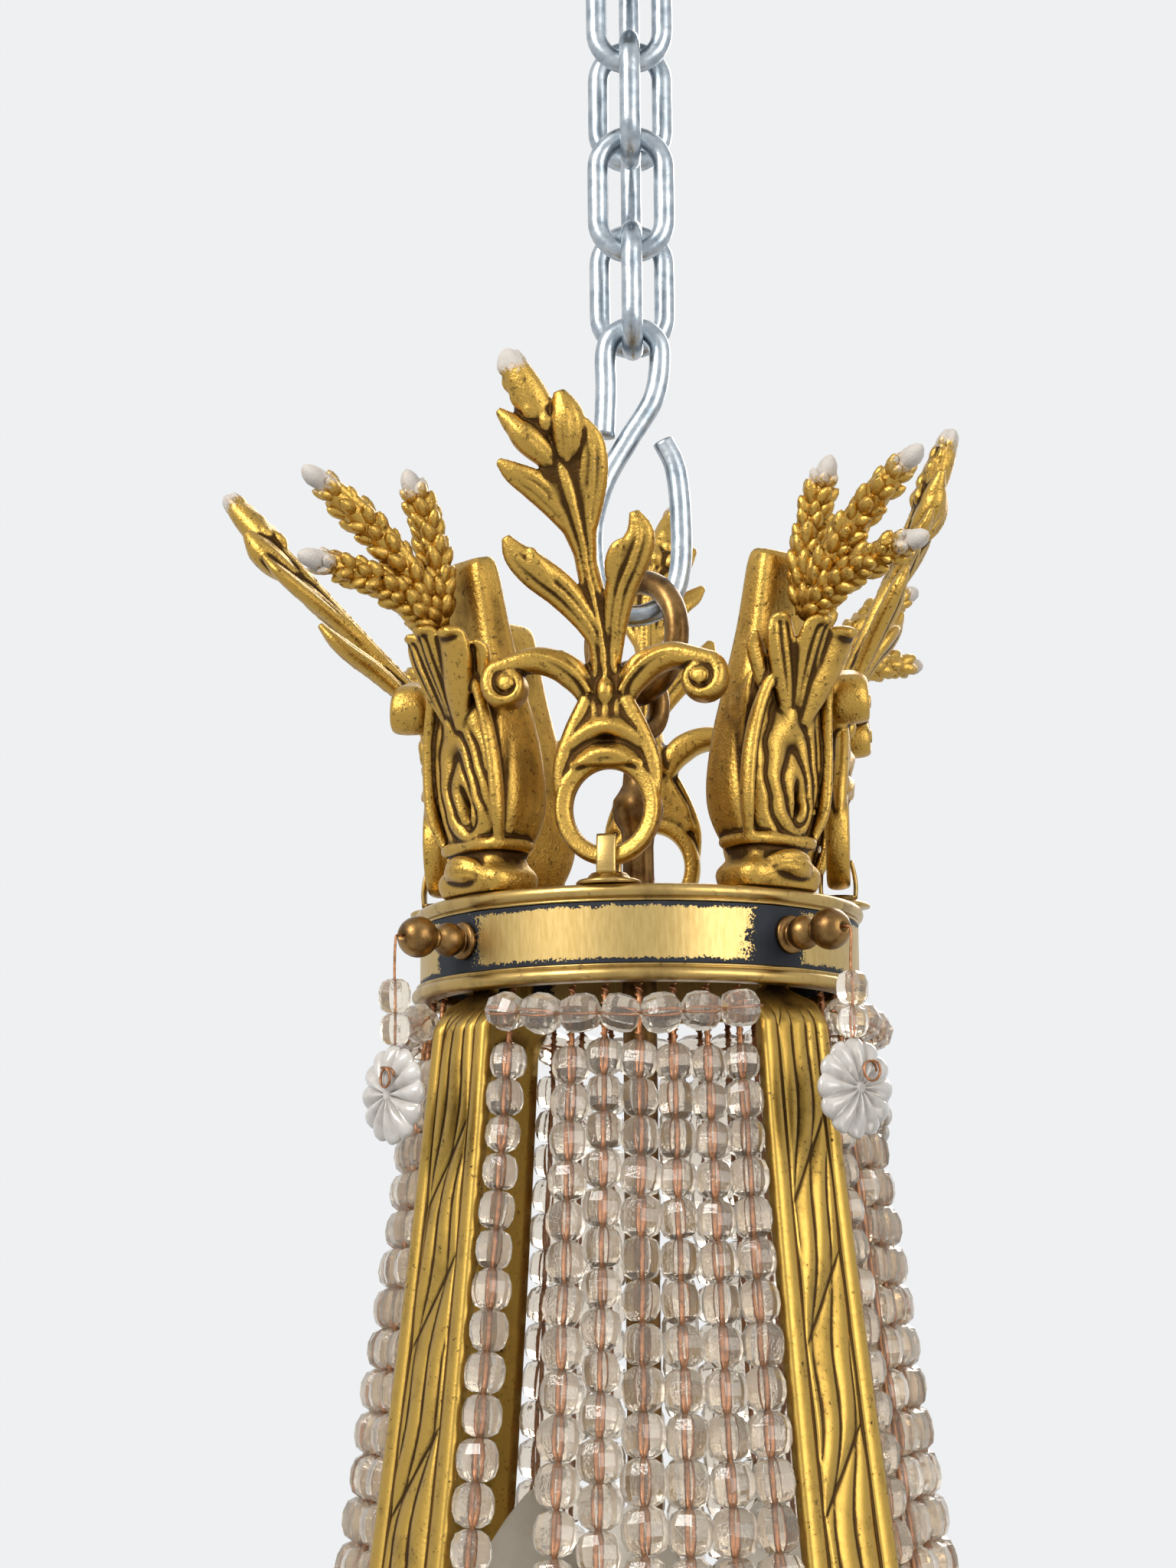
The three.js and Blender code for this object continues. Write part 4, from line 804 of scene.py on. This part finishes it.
def console_front(t, z):
    """How far the console's front stands out: a dome, round ridges with sharp grooves that follow drops about
    the eye, which lean inwards and stretch upwards, a bud and a shell petal above, and a slit at the eye."""
    out = np.hypot(t / SCROLL_HALF, (z - SCROLL_MIDDLE) / SCROLL_RISE)
    edge = np.clip((1 - out) * 6, 0, 1)
    up = z - EYE_UP
    off = t - EYE_T + 0.17 * np.clip(up, 0, None)
    drop = np.hypot(off / np.where(off < 0, 14, 8.6), up / np.where(up > 0, 37, 15.5))
    phase = 2.9 * drop + 0.16 * np.sin(2 * np.arctan2(up, off)) + 0.05 * np.sin(z * 0.7)
    ridge = 1.9 * (np.abs(np.sin(math.pi * phase)) ** 0.55 - 0.5)
    bud = 2.4 * np.exp(-(((t + 1.5) / 2.6) ** 2) - ((z - 68) / 4.6) ** 2)
    petal = 2.8 * np.exp(-(((t - 5.6 + 0.1 * (z - 72)) / 3.6) ** 2) - ((z - 71) / 8) ** 2)
    slit = 4.5 * np.exp(-(((off + 0.3) / 1.3) ** 2) - (up / 4.2) ** 2)
    fade = 1 - 0.85 * np.clip((bud + petal) / 2.2, 0, 1)
    return 4.6 * arch(out, 2.6) + ridge * edge * fade + (bud + petal) * edge - slit


def console_shell():
    """The front's closed shell: rings of one shape from its middle to its edge, then one ring on the back."""
    shares = np.concatenate([np.linspace(0.02, 1, 60), [1.0]])[:, None]
    angle = even_angles(190)
    t = SCROLL_HALF * shares * squared(np.cos(angle), 0.8)
    z = SCROLL_MIDDLE + SCROLL_RISE * shares * squared(np.sin(angle), 0.8)
    lean = 0.028 * (z - 36) + 0.0016 * np.clip(z - 62, 0, None) ** 2
    y = -(55 + lean + console_front(t, z))
    y[-1] = -(49 + lean[-1])
    return surface(np.stack([t, y, z], -1))


def bar(points, widths, thick, count, sides, side=(1, 0, 0), square=1.0):
    """A rod along a smooth path, whose half widths and thicknesses run smoothly through the given values."""
    wide, deep = profile(widths, count), profile(thick, count)
    return rod(smooth_path(points, count), side, wide, deep, sides, square=square)


back_line = [(0, -49.5, 34), (0, -47.6, 46), (0, -48.4, 60), (0, -50.6, 75), (0, -52.8, 92), (0, -55.6, 108),
             (0, -56.4, 111.4)]
left_border = [(-10.6, -55, 36.6), (-13.2, -57.4, 45), (-13.4, -58.6, 56), (-12, -59.8, 66), (-9, -61.4, 75),
               (-5, -63.4, 82)]
right_border = [(10.6, -55, 36.6), (13, -57.4, 45), (13.2, -58.6, 56), (12.2, -60, 66), (11, -62, 75),
                (10, -64.4, 82)]
# the collar: a rolled middle leaf, a folded leaf to one side, a smooth shell leaf to the other, small ones
COLLAR_BLADES = [
    ([(0.6, -61, 68), (0.2, -64, 77), (0, -67.4, 85), (0.4, -70.6, 90.4), (0.8, -74, 90.6)],
     (1.6, 3.4, 4.4, 4, 1.6), (1.2, 2, 2.2, 1.8, 1), 0.22),
    ([(-2, -60.6, 67), (-4.6, -63, 76), (-7.4, -65, 84), (-9.4, -66.6, 90), (-10.6, -69, 91.4)],
     (1.4, 3.6, 4.6, 3.6, 1.2), (1.2, 1.9, 2, 1.6, 0.8), 0.24),
    ([(3, -61, 66), (5.4, -64, 75), (8, -66.6, 83.4), (9.6, -69.4, 88.6), (10.4, -73, 88.6)],
     (1.8, 4.2, 5.2, 4.6, 2), (1.4, 2.5, 2.6, 2, 1.1)),
    ([(-7, -58.6, 72), (-10.4, -60, 79), (-13, -61, 84.6), (-14.6, -63, 87.6)],
     (1.4, 2.6, 2.6, 0.8), (1.1, 1.7, 1.6, 0.7), 0.12),
    ([(9, -60, 74), (12.4, -61.6, 80), (14, -63.4, 85), (15, -66, 86.6)],
     (1.4, 2.4, 2.5, 0.8), (1.1, 1.6, 1.6, 0.7), 0.12),
]
foot_leaf = [(-9, -56, 29), (-3, -59.4, 30.6), (3, -59.6, 30.2), (9.4, -56, 28)]
console_shells = [
    bar([(0, -50.5, 24.4), (0, -50.5, 36.6)], (12.4, 13.3, 13, 10.6, 9.8, 10.4), (8, 9, 9, 7.8, 7.2, 7.6),
        14, 28, square=0.55),
    bar([(0, -50.6, 35), (0, -50.6, 38)], (11.4, 12.2, 11.4), (8, 8.7, 8), 6, 28, square=0.5),
    bar(back_line, (9, 13.4, 13.2, 11.2, 8.6, 7.6, 6.2), (6.4, 8.2, 8, 6.8, 5.2, 4.4, 3), 44, 32,
        square=0.48),
    console_shell(),
    bar(left_border, (1.4, 2.3, 2.4, 2.2, 1.8, 1.1), (1.1, 1.5, 1.6, 1.6, 1.4, 1), 34, 12, (0, 1, 0)),
    bar(right_border, (1.4, 2.1, 2.2, 2, 1.7, 1.1), (1.1, 1.5, 1.5, 1.4, 1.3, 1), 34, 12, (0, 1, 0)),
    blade(foot_leaf, (1.4, 3, 3.4, 1.2), (1, 2, 2.2, 1), 0.14, side=(0, 0, 1)),
    *(blade(*row) for row in COLLAR_BLADES),
]
for made in quartet("scroll_console", console_shells, gilt, "console", CORNERS, "gilt"):
    cast(made)

# Wheat sheaves. Three cast ears stand on each console behind its acanthus: rows of pointed grains on a
# tapering core, with the gilding worn to a chalky white at the tips.
EAR_ROOT = (0, -65.0, 93.0)
EARS = (((0, -76, 131), 4.6), ((0, -107, 127), 5.0), ((0, -108, 105), 4.4))  # tip and fatness
EAR_RINGS, EAR_STAGES, EAR_ROWS = 40, 9, 5
sprout = np.random.default_rng(7)


def grain_shell(middle, axis, outward, length, width):
    """An ellipsoid drawn to a point along its axis: width times sin a to the power 1.25 across it, length
    times -cos a along it."""
    a, b = np.linspace(0.12, math.pi - 0.12, 7), even_angles(8)
    side = np.cross(axis, outward)
    fat = np.sin(a) ** 1.25 * width
    grid = middle + (-np.cos(a) * length)[:, None, None] * axis
    grid = grid + (fat[:, None] * np.cos(b))[..., None] * outward
    return surface(grid + (fat[:, None] * np.sin(b))[..., None] * side)


def wheat_ear(end, fat):
    """An ear: a fat core along a slightly bowed path, and grains in rows and stages that lean out from it
    and differ in size, closing to a blunt tip. The back of each ear is a plain cast blade."""
    root, end = np.array(EAR_ROOT), np.array(end, float)
    path = smooth_path([root, (root + end) / 2 + (0, 2, 2.5), end], EAR_RINGS)
    tangent, side, normal = frames(path, (1, 0, 0))
    inner = normal * np.sign(normal[EAR_RINGS // 2, 1])
    along = np.linspace(0, 1, EAR_RINGS)
    core = fat * 0.7 * np.interp(along, (0, 0.2, 0.75, 0.96, 1), (0.6, 0.95, 0.9, 0.5, 0.2))
    shells = [rod(path, (1, 0, 0), core, sides=12),
              rod(path[6:] + inner[6:] * 1.3, (1, 0, 0), core[6:] * 1.15, core[6:] * 0.8, sides=14)]
    for stage in range(EAR_STAGES):
        at = 0.14 + 0.092 * stage
        i = int(at * (EAR_RINGS - 1))
        reach = fat * np.interp(at, (0, 0.25, 0.75, 1), (0.55, 0.95, 0.85, 0.4))
        for strip in range(EAR_ROWS):
            a = 2 * math.pi / EAR_ROWS * (strip + 0.5 * (stage % 2)) + sprout.uniform(-0.2, 0.2)
            out = side[i] * math.cos(a) - inner[i] * math.sin(a)
            axis = tangent[i] + out * sprout.uniform(0.5, 0.85)
            axis /= np.linalg.norm(axis)
            out = out - axis * (out @ axis)
            out /= np.linalg.norm(out)
            size = (0.6 + 0.45 * reach / fat) * sprout.uniform(0.85, 1.15)
            shells.append(grain_shell(path[i] + out * reach * 0.66, axis, out, 4.2 * size, 2.1 * size))
    shells.append(grain_shell(end - tangent[-1] * 2.6, tangent[-1], side[-1], 4.2, 2.6))
    return shells


ear_tips = np.array([end for end, _ in EARS], float)
ear_shells = [shell for end, fat in EARS for shell in wheat_ear(end, fat)]
for corner, made in zip(CORNERS, quartet("wheat_ears", ear_shells, gilt, "wheat_sheaf", CORNERS, "gilt")):
    hollows(made, 5)
    bare_tips(made, turn_about_z(ear_tips, corner))


# Knob pins. A turned bronze pin is riveted through the band under each console: a flange, a base ball, a
# neck and a drilled end ball, whose bore takes the pendant's wire.
def facing(shell):
    """Lays an upright turned piece down so that its axis points outwards: z becomes -y."""
    x, y, z = shell[0].T
    return np.stack([x, -z, y], 1), shell[1]


def ball(middle, radius, start, end, steps=10):
    """Radius and height pairs on a ball, from one angle off its lower pole to another."""
    a = np.radians(np.linspace(start, end, steps))
    return list(zip(radius * np.sin(a), middle - radius * np.cos(a)))


PIN_Z, PIN_BORE_R, NECK_R = 12.5, 1.3, 1.9
PIN_END, FLANGE = FIELD_R + 20, FIELD_R + 0.3
pin_profile = [(0, FIELD_R), (4.8, FIELD_R), (4.8, FLANGE + 0.9), (4.3, FLANGE + 1.3), (3.2, FLANGE + 1.4),
               *ball(FLANGE + 5, 4.3, 40, 148), (NECK_R, FLANGE + 9.2), (NECK_R, PIN_END - 11),
               (2.6, PIN_END - 10.6), (2.6, PIN_END - 9.9), *ball(PIN_END - 5.2, 5.2, 28, 160),
               (PIN_BORE_R, PIN_END - 0.3), (PIN_BORE_R, PIN_END - 4), (0, PIN_END - 4)]
pin_shell = moved(facing(turned(pin_profile, 40, loop=False)), (0, 0, PIN_Z))
quartet("drilled_pin", [pin_shell], bronze, "knob_pin", CORNERS, "bronze")

# Pendants. On a twist of copper wire from each pin hang two glass beads and a pressed glass rosette of
# twelve petals with a pearly finish. They swing on the wire in the pin's bore.
copper, shader, field, place = finish_of("copper_wire")
cloud = noise(field, place, 700, 3)
feed(shader, Metallic=1.0, Base_Color=cloud.step(0.3, 0.7).mix((0.2, 0.09, 0.04), (0.55, 0.26, 0.13)),
     Roughness=0.35 + cloud * 0.2)

glass, shader, field, place = finish_of("rosy_glass")
cloud = noise(field, place, 130, 3)
seeds = noise(field, place, 1300, 2)
feed(shader, Base_Color=cloud.step(0.3, 0.7).mix((0.93, 0.83, 0.7), (0.98, 0.92, 0.82)),
     Roughness=0.02 + seeds * 0.06, Transmission_Weight=0.92, IOR=1.5,
     Normal=bump(field, seeds, 0.00015, 0.6))

pearl, shader, field, place = finish_of("pearly_glass")
cloud = noise(field, place, 240, 3)
feed(shader, Base_Color=cloud.step(0.3, 0.7).mix((0.62, 0.57, 0.52), (0.86, 0.83, 0.78)),
     Roughness=0.16 + cloud * 0.1, Transmission_Weight=0.25, IOR=1.5, Coat_Weight=0.7, Sheen_Weight=0.15)

BEAD_LENGTH = 1.9  # of its radius
BEAD_R = np.array([0.46, 0.82, 1.0, 1.0, 0.82, 0.46])
BEAD_Z = np.array([-0.5, -0.39, -0.15, 0.15, 0.39, 0.5])
dice = np.random.default_rng(11)


def bead(radius):
    """A pressed bead on the z axis: rings of eight corners, whose radii and heights are shares of its
    radius and length, each corner pulled in a little at random as the cut facets are uneven."""
    a = even_angles(8)
    r = radius * BEAD_R[:, None] * dice.uniform(0.93, 1.02, (1, 8))
    return surface(round_axis(r, a, radius * BEAD_LENGTH * BEAD_Z[:, None]))


def strung(shell, middle, tilt=(0, 0, 1), spin=0.0):
    """A bead set on its string: spun, then its axis laid along the tilt, then moved to its place."""
    up = np.asarray(tilt, float) / np.linalg.norm(tilt)
    side = np.cross(up, (0, 1, 0) if abs(up[1]) < 0.9 else (1, 0, 0))
    side /= np.linalg.norm(side)
    other = np.cross(up, side)
    c, s = math.cos(spin), math.sin(spin)
    x, y, z = shell[0].T
    u, v = x * c - y * s, x * s + y * c
    return u[:, None] * side + v[:, None] * other + z[:, None] * up + middle, shell[1]


ROSETTE_R, ROSETTE_DROP, HANG_R, WIRE_R = 12.3, 39.6, PIN_END + 1.8, 0.33
PENDANT_BEADS = ((15.3, 4.4), (23.5, 4.0))  # drop below the bore, radius


def rosette_shell():
    """The rosette in the x-z plane: its outline R(0.91 + 0.09|cos 6a|^0.7), each petal a convex gutter from
    a small boss to the edge, the back a flatter copy."""
    a = even_angles(144)
    share = np.array([0.1, 0.16, 0.24, 0.36, 0.5, 0.64, 0.78, 0.89, 0.96, 1.0])[:, None]
    petal = np.abs(np.cos(6 * a))
    r = share * (ROSETTE_R * (0.91 + 0.09 * petal**0.7))
    puff = 3.3 * arch((share - 0.45) / 0.56, 2) * (0.35 + 0.65 * petal**0.6)
    front = np.stack([r * np.cos(a), -puff, r * np.sin(a)], -1)
    back = np.stack([r * np.cos(a), puff * 0.45, r * np.sin(a)], -1)[::-1]
    return surface(np.concatenate([front, back[1:]]))


boss = facing(turned([(0, 0), (1.5, 0), (1.9, 1.4), (1.4, 2.6), (0.7, 2.8), (0, 2.2)], 16, loop=False))
wire_path = smooth_path([(0, -PIN_END + 3, PIN_Z), (0, -PIN_END - 0.8, PIN_Z), (0.2, -HANG_R, PIN_Z - 1.4),
                         (-0.2, -HANG_R, PIN_Z - 9), (0.1, -HANG_R, PIN_Z - 20), (0, -HANG_R, PIN_Z - 30),
                         (0, -HANG_R + 0.4, PIN_Z - ROSETTE_DROP)], 50)
curl = np.linspace(0, 2 * math.pi * 1.3, 30)
curl_path = np.stack([2 + 2.4 * np.cos(curl), -HANG_R - 3.4 - 0.2 * curl,
                      PIN_Z - ROSETTE_DROP + 4 + 2.4 * np.sin(curl)], 1)
wires = [rod(wire_path, (1, 0, 0), WIRE_R, sides=8), rod(curl_path, (0, 1, 0), WIRE_R, sides=8)]
flower = [moved(shell, (0, -HANG_R, PIN_Z - ROSETTE_DROP)) for shell in (rosette_shell(), boss)]
for k, corner in enumerate(CORNERS):
    body = f"pendant_{k + 1}"
    beads = [strung(bead(radius), (0, -HANG_R, PIN_Z - drop), spin=dice.uniform(0, 3))
             for drop, radius in PENDANT_BEADS]
    piece(f"pendant_wire_{k + 1}", turn_all(wires, corner), copper, body=body)
    piece(f"pendant_beads_{k + 1}", turn_all(beads, corner), glass, body=body, smooth=False)
    piece(f"pendant_rosette_{k + 1}", turn_all(flower, corner), pearl, body, body=body, slot="bead_glass")

# Stays. Four flat cast bars hook up inside the band at the corners and flare down to the hoop. Each has
# a smooth border, a groove and a chased band of twisted leaf; the inner face is plain worn gilding.
TENT_H, TENT_TOP_R, TENT_SLOPE, TENT_FLARE = 286.0, 55.5, 0.105, 0.00016
STAY_T, STAY_TOP, STAY_FOOT, LUG_R, LUG_HALF = 3.6, 21.4, 37.0, 51.2, 3.5


def tent_r(drop):
    """Radius of the strands: the top's, plus a slope and a flare times the drop and its square."""
    return TENT_TOP_R + TENT_SLOPE * drop + TENT_FLARE * drop * drop


drops = np.linspace(-17.8, TENT_H - 0.6, 470)
ease = np.clip((drops + 2) / 12, 0, 1)
ease = ease * ease * (3 - 2 * ease)
stay_r = (LUG_R + (tent_r(np.maximum(drops, 0)) + 2 - LUG_R) * ease)[:, None]
stay_half = STAY_TOP / 2 + (STAY_FOOT - STAY_TOP) / 2 * drops / TENT_H
stay_half = (LUG_HALF + (stay_half - LUG_HALF) * np.clip((drops - 0.4) / 3, 0, 1))[:, None]
drops = drops[:, None]
across = np.linspace(-1, 1, 61) + 0 * drops  # from one edge to the other
lead = drops / 40 + 0.5 * across + 0.09 * np.sin(drops / 9 + 2 * across)
leaf = np.abs(np.sin(math.pi * lead)) ** 0.5
flute = np.abs(np.sin(math.pi * (1.9 * across + 0.8 * lead + 0.16 * np.sin(drops / 6.3)))) ** 0.6
carved = (leaf * (0.75 + 0.95 * flute) - 0.5) * arch(across / 0.57, 4)
border = 1.15 * arch((np.abs(across) - 0.8) / 0.2, 2) - 0.3
raised = np.where(np.abs(across) < 0.56, carved, border) * np.clip((drops - 5) / 4, 0, 1)
face = np.stack([stay_half * across, -(stay_r + STAY_T / 2 - 0.8 + raised), -drops + 0 * across], -1)
across = np.linspace(1, -1, 9) + 0 * drops
back = np.stack([stay_half * across, -(stay_r - STAY_T / 2 + 0 * across), -drops + 0 * across], -1)
stay_shell = surface(np.concatenate([face, back], 1))
for made in quartet("chased_stay", [stay_shell], worn_gilt, "stay", CORNERS, "worn_gilt"):
    hollows(made, 3)

# Bead strands. Eight strands to a panel, of faceted glass beads that grow from 9 to 13.6 mm, threaded on
# twisted copper wires from the upper plate to the hoop. One strand of the front panel is lost.
STRANDS, STEP, FIRST_DROP, LOST = 8, 8.6, 15.0, (0, 1)
GROWTH, BEAD_STEP = 535.0, 0.0163  # a bead's pitch is this share of its drop below the band plus GROWTH
PITCH_SHARE = 0.97  # a bead's pitch, as a share of its width
MOST_SPIN = 0.8  # radians, a bead about its string


def strand_line(drop, azimuth):
    """A point of a strand: the tent's radius at a drop, at an azimuth from the front."""
    a = np.radians(azimuth)
    r = tent_r(drop)
    return np.stack([r * np.sin(a), -r * np.cos(a), -drop + 0 * r], -1)


for k in range(4):
    beads, wires = [], []
    for i in range(STRANDS):
        if (k, i) == LOST:
            continue
        azimuth = 90 * k + (i - (STRANDS - 1) / 2) * STEP
        start = FIRST_DROP + dice.uniform(-1, 2.5)
        drift = dice.uniform(-0.35, 0.35)
        reach = (TENT_H - 1.5 + GROWTH) / (start + GROWTH)
        count = round(math.log(reach) / BEAD_STEP)
        middles = (start + GROWTH) * reach ** ((np.arange(count) + 0.5) / count) - GROWTH
        for drop in middles:
            size = (drop + GROWTH) * math.log(reach) / count / PITCH_SHARE
            tilt = strand_line(drop - 1, azimuth) - strand_line(drop + 1, azimuth)
            tilt = tilt + dice.uniform(-0.22, 0.22, 3)
            shell = bead(size / 2 * dice.uniform(0.95, 1.04))
            middle = strand_line(drop, azimuth + drift + dice.uniform(-0.22, 0.22))
            beads.append(strung(shell, middle, tilt, dice.uniform(0, MOST_SPIN)))
        line = np.linspace(1, TENT_H - 0.5, 60)
        path = strand_line(line, azimuth + drift * np.clip(line / 20, 0, 1))
        top = np.linspace(0.4, FIRST_DROP + 1, 40)
        coil = strand_line(top, azimuth + 0.9 * np.sin(top * 3.3))
        coil[:, :2] *= (1 + 0.011 * np.cos(top * 3.3))[:, None]
        wires += [rod(path, (0, 0.3, 1), 0.75, sides=6), rod(coil, (1, 1, 0.2), 0.28, sides=6)]
    piece(f"bead_strands_{k + 1}", beads, glass, f"bead_panel_{k + 1}", slot="bead_glass", smooth=False)
    piece(f"strand_wires_{k + 1}", wires, copper)

# Bead swags. A short string of seven larger beads runs along under each side of the band.
SWAG_BEADS, SWAG_R, SWAG_STEP, SWAG_DROP, SWAG_SAG, SWAG_BEAD_R = 7, 61.5, 9.3, 8.4, 1.6, 5.1
SWAG_REACH, SWAG_STRING = 28, 34  # degrees from the middle to the last bead and to the string's end
for k in range(4):
    beads = []
    for i in range(SWAG_BEADS):
        share = (i - (SWAG_BEADS - 1) / 2) / ((SWAG_BEADS - 1) / 2)
        azimuth = math.radians(90 * k + share * (SWAG_BEADS - 1) / 2 * SWAG_STEP)
        c, s = math.cos(azimuth), math.sin(azimuth)
        middle = np.array([SWAG_R * s, -SWAG_R * c, -SWAG_DROP + SWAG_SAG * share**2])
        axis = np.array([c, s, 0]) + dice.uniform(-0.25, 0.25, 3)
        shell = bead(SWAG_BEAD_R * dice.uniform(0.96, 1.02))
        beads.append(strung(shell, middle, axis, dice.uniform(0, MOST_SPIN)))
    azimuths = np.linspace(-SWAG_STRING, SWAG_STRING, 40)
    rise = SWAG_SAG * np.minimum((azimuths / SWAG_REACH) ** 2, 1.6)
    a = np.radians(azimuths + 90 * k)
    string = np.stack([SWAG_R * np.sin(a), -SWAG_R * np.cos(a), -SWAG_DROP + rise], 1)
    piece(f"swag_beads_{k + 1}", beads, glass, f"bead_swag_{k + 1}", slot="bead_glass", smooth=False)
    piece(f"swag_wire_{k + 1}", [rod(string, (0, 0, 1), 0.4, sides=6)], copper)

# Hoop. A cast ring of gilt metal that the stays stand on and the strands are laced to: a moulded face with
# a row of leaf tips between two beads.
HOOP_H, HOOP_DEEP, HOOP_LEAVES, HOOP_VEINS = 11.0, 13, 72, 216
hoop_top, hoop_out = -TENT_H, tent_r(TENT_H) + 2 + STAY_T
hoop_in = hoop_out - HOOP_DEEP
angle = even_angles(720)[:, None]
down = np.linspace(0, 1, 26)
leafy = 0.9 * np.abs(np.sin(HOOP_LEAVES / 2 * angle + 0 * down)) ** 0.6 * hump(down, 0.5, 0.2)
veins = 0.25 * np.cos(HOOP_VEINS * angle + 0 * down) * hump(down, 0.5, 0.16)
bead_rows = 0.9 * (hump(down, 0.1, 0.07) + hump(down, 0.9, 0.07))
face_r = hoop_out - 2.1 + leafy + veins + bead_rows - 1.4 * down
r = np.concatenate([face_r, np.full((len(angle), 2), hoop_in)], 1)
z = np.concatenate([hoop_top - HOOP_H * down, [hoop_top - HOOP_H, hoop_top]])
hoop_shell = surface(round_axis(r, angle, z), along=True)
hollows(piece("cast_hoop", [hoop_shell], gilt, "hoop", slot="gilt"), 4)

# Bead basket. Strands of beads that shrink from 13 to 3 mm draw in from the hoop to the finial, each on a
# copper wire, and make the bowl under the tent.
BASKET_H, BASKET_STRANDS, BASKET_IN = 82.0, 40, 13.0
BIGGEST_BEAD, SMALLEST_BEAD, HALF_PITCH = 13.2, 2.9, 0.48
basket_top, basket_out = -TENT_H - HOOP_H - 0.3, hoop_in + 5.85
quarter_turn = np.linspace(0, math.pi / 2, 400)
bowl_r = BASKET_IN + (basket_out - BASKET_IN) * np.cos(quarter_turn) ** 0.85
bowl_z = basket_top - (BASKET_H - 2.4) * np.sin(quarter_turn)
length = np.concatenate([[0], np.cumsum(np.hypot(np.diff(bowl_r), np.diff(bowl_z)))])


def on_bowl(at):
    """Radius and height of the bowl's line at a length along it."""
    return np.interp(at, length, bowl_r), np.interp(at, length, bowl_z)


beads, wires = [], []
for i in range(BASKET_STRANDS):
    azimuth = 2 * math.pi * i / BASKET_STRANDS
    spoke = np.array([math.sin(azimuth), -math.cos(azimuth), 0])
    at = 1.0 + dice.uniform(0, 1.5)
    while True:
        room = 2 * math.pi * on_bowl(at)[0] / BASKET_STRANDS * 0.96
        size = min(BIGGEST_BEAD, max(SMALLEST_BEAD, room))
        at += size * HALF_PITCH
        if at > length[-1] - 1.5:
            break
        (r, z), (r2, z2) = on_bowl(at), on_bowl(at - 1)
        tilt = spoke * (r2 - r) + (0, 0, z2 - z) + dice.uniform(-0.1, 0.1, 3)
        shell = bead(size / 2 * dice.uniform(0.96, 1.03))
        beads.append(strung(shell, spoke * r + (0, 0, z), tilt, dice.uniform(0, MOST_SPIN)))
        at += size * HALF_PITCH
    path = spoke * bowl_r[::8, None] + np.stack([0 * bowl_z, 0 * bowl_z, bowl_z], 1)[::8]
    wires.append(rod(path, (0, 0.2, 1) if i % 20 else (0.2, 0.1, 1), 0.4, sides=5))
piece("basket_beads", beads, glass, "bead_basket", slot="bead_glass", smooth=False)
piece("basket_wires", wires, copper)

# Finial. A cast gilt knop with gadroons under the basket's plate, ending in a pointed drop.
finial_top = -TENT_H - HOOP_H - BASKET_H - 0.6
knop = smooth_path([(0.2, -44), (2.2, -42.6), (4.6, -36), (7.4, -28), (6.6, -24), (5.2, -21.6), (7.4, -20),
                    (6.8, -18.4), (9, -14), (13.6, -8), (15.9, -3.4), (15.6, -1), (13.6, -0.2), (5, 0)], 150)
knop_r, knop_z = knop[:, :1], knop[:, 1:]
a = even_angles(144)
swell = hump(knop_z, -10.5, 5)
lobes = 1 + 0.055 * np.abs(np.cos(6 * a)) * swell - 0.05 * swell
r = knop_r * lobes * (1 - 0.06 * np.abs(np.sin(5 * a)) * hump(knop_z, -31, 6))
finial_shell = surface(round_axis(r, a, finial_top + knop_z))
hollows(piece("finial_knop", [finial_shell], gilt, "finial", slot="gilt"), 4)

# Lamp cluster. A turned brass body on the stem carries three curved arms with drip pans and candle tubes;
# a pear shaped frosted bulb stands in each tube. It is hidden by the strands and guessed.
CLUSTER_Z, CLUSTER_R, CANDLE_H, CANDLE_CUP, LAMPS = -214.0, 36.0, 34.0, 12, 3
candle_foot = CLUSTER_Z + 4
hub = smooth_path([(4.8, -12), (7, -12), (8.4, -9.6), (12.6, -4.6), (13, -1), (11.8, 2), (12.4, 3.6),
                   (8.4, 6), (7.8, 9), (4.8, 9)], 60)
lamp_arm = [(0, -9, CLUSTER_Z), (0, -CLUSTER_R * 0.6, CLUSTER_Z - 5), (0, -CLUSTER_R, candle_foot + 2)]
tube = [(0, 0), (5, 0), (7, 0.6), (10, 2.2), (12, 4), (11.6, 5), (9.4, 5), (9, 5.6), (9, CANDLE_H - 0.6),
        (8.6, CANDLE_H), (6.4, CANDLE_H), (6, CANDLE_H - 0.5), (6, CANDLE_H - CANDLE_CUP),
        (0, CANDLE_H - CANDLE_CUP)]
lamp_shells = [rod(smooth_path(lamp_arm, 24), (1, 0, 0), 2.8, sides=14),
               moved(turned(tube, 40, loop=False), (0, -CLUSTER_R, candle_foot))]
shells = [turned([(r, CLUSTER_Z + z) for r, z in hub], 64)]
for i in range(LAMPS):
    shells += turn_all(lamp_shells, 120 * i)
hollows(piece("lamp_arms", shells, worn_gilt, "lamp_cluster", slot="worn_gilt"), 2)

frosted, shader, field, place = finish_of("frosted_bulb")
cloud = noise(field, place, 160, 2)
feed(shader, Base_Color=cloud.step(0.3, 0.7).mix((0.86, 0.83, 0.76), (0.93, 0.91, 0.86)),
     Roughness=0.35 + cloud * 0.1, Transmission_Weight=0.3, IOR=1.45)
pear = smooth_path([(0.1, 0), (5.4, 0), (5.6, 2), (5.6, 12), (7, 15), (11.2, 21), (15.4, 29), (16, 33),
                    (14.6, 42), (8, 53), (2.4, 60), (0.1, 62)], 60)
bulb = moved(turned(pear, 40, loop=False), (0, -CLUSTER_R, candle_foot + CANDLE_H - CANDLE_CUP + 0.3))
for i in range(LAMPS):
    piece(f"pear_bulb_{i + 1}", [moved(bulb, azimuth=120 * i)], frosted, f"candle_bulb_{i + 1}",
          slot="bulb_glass")
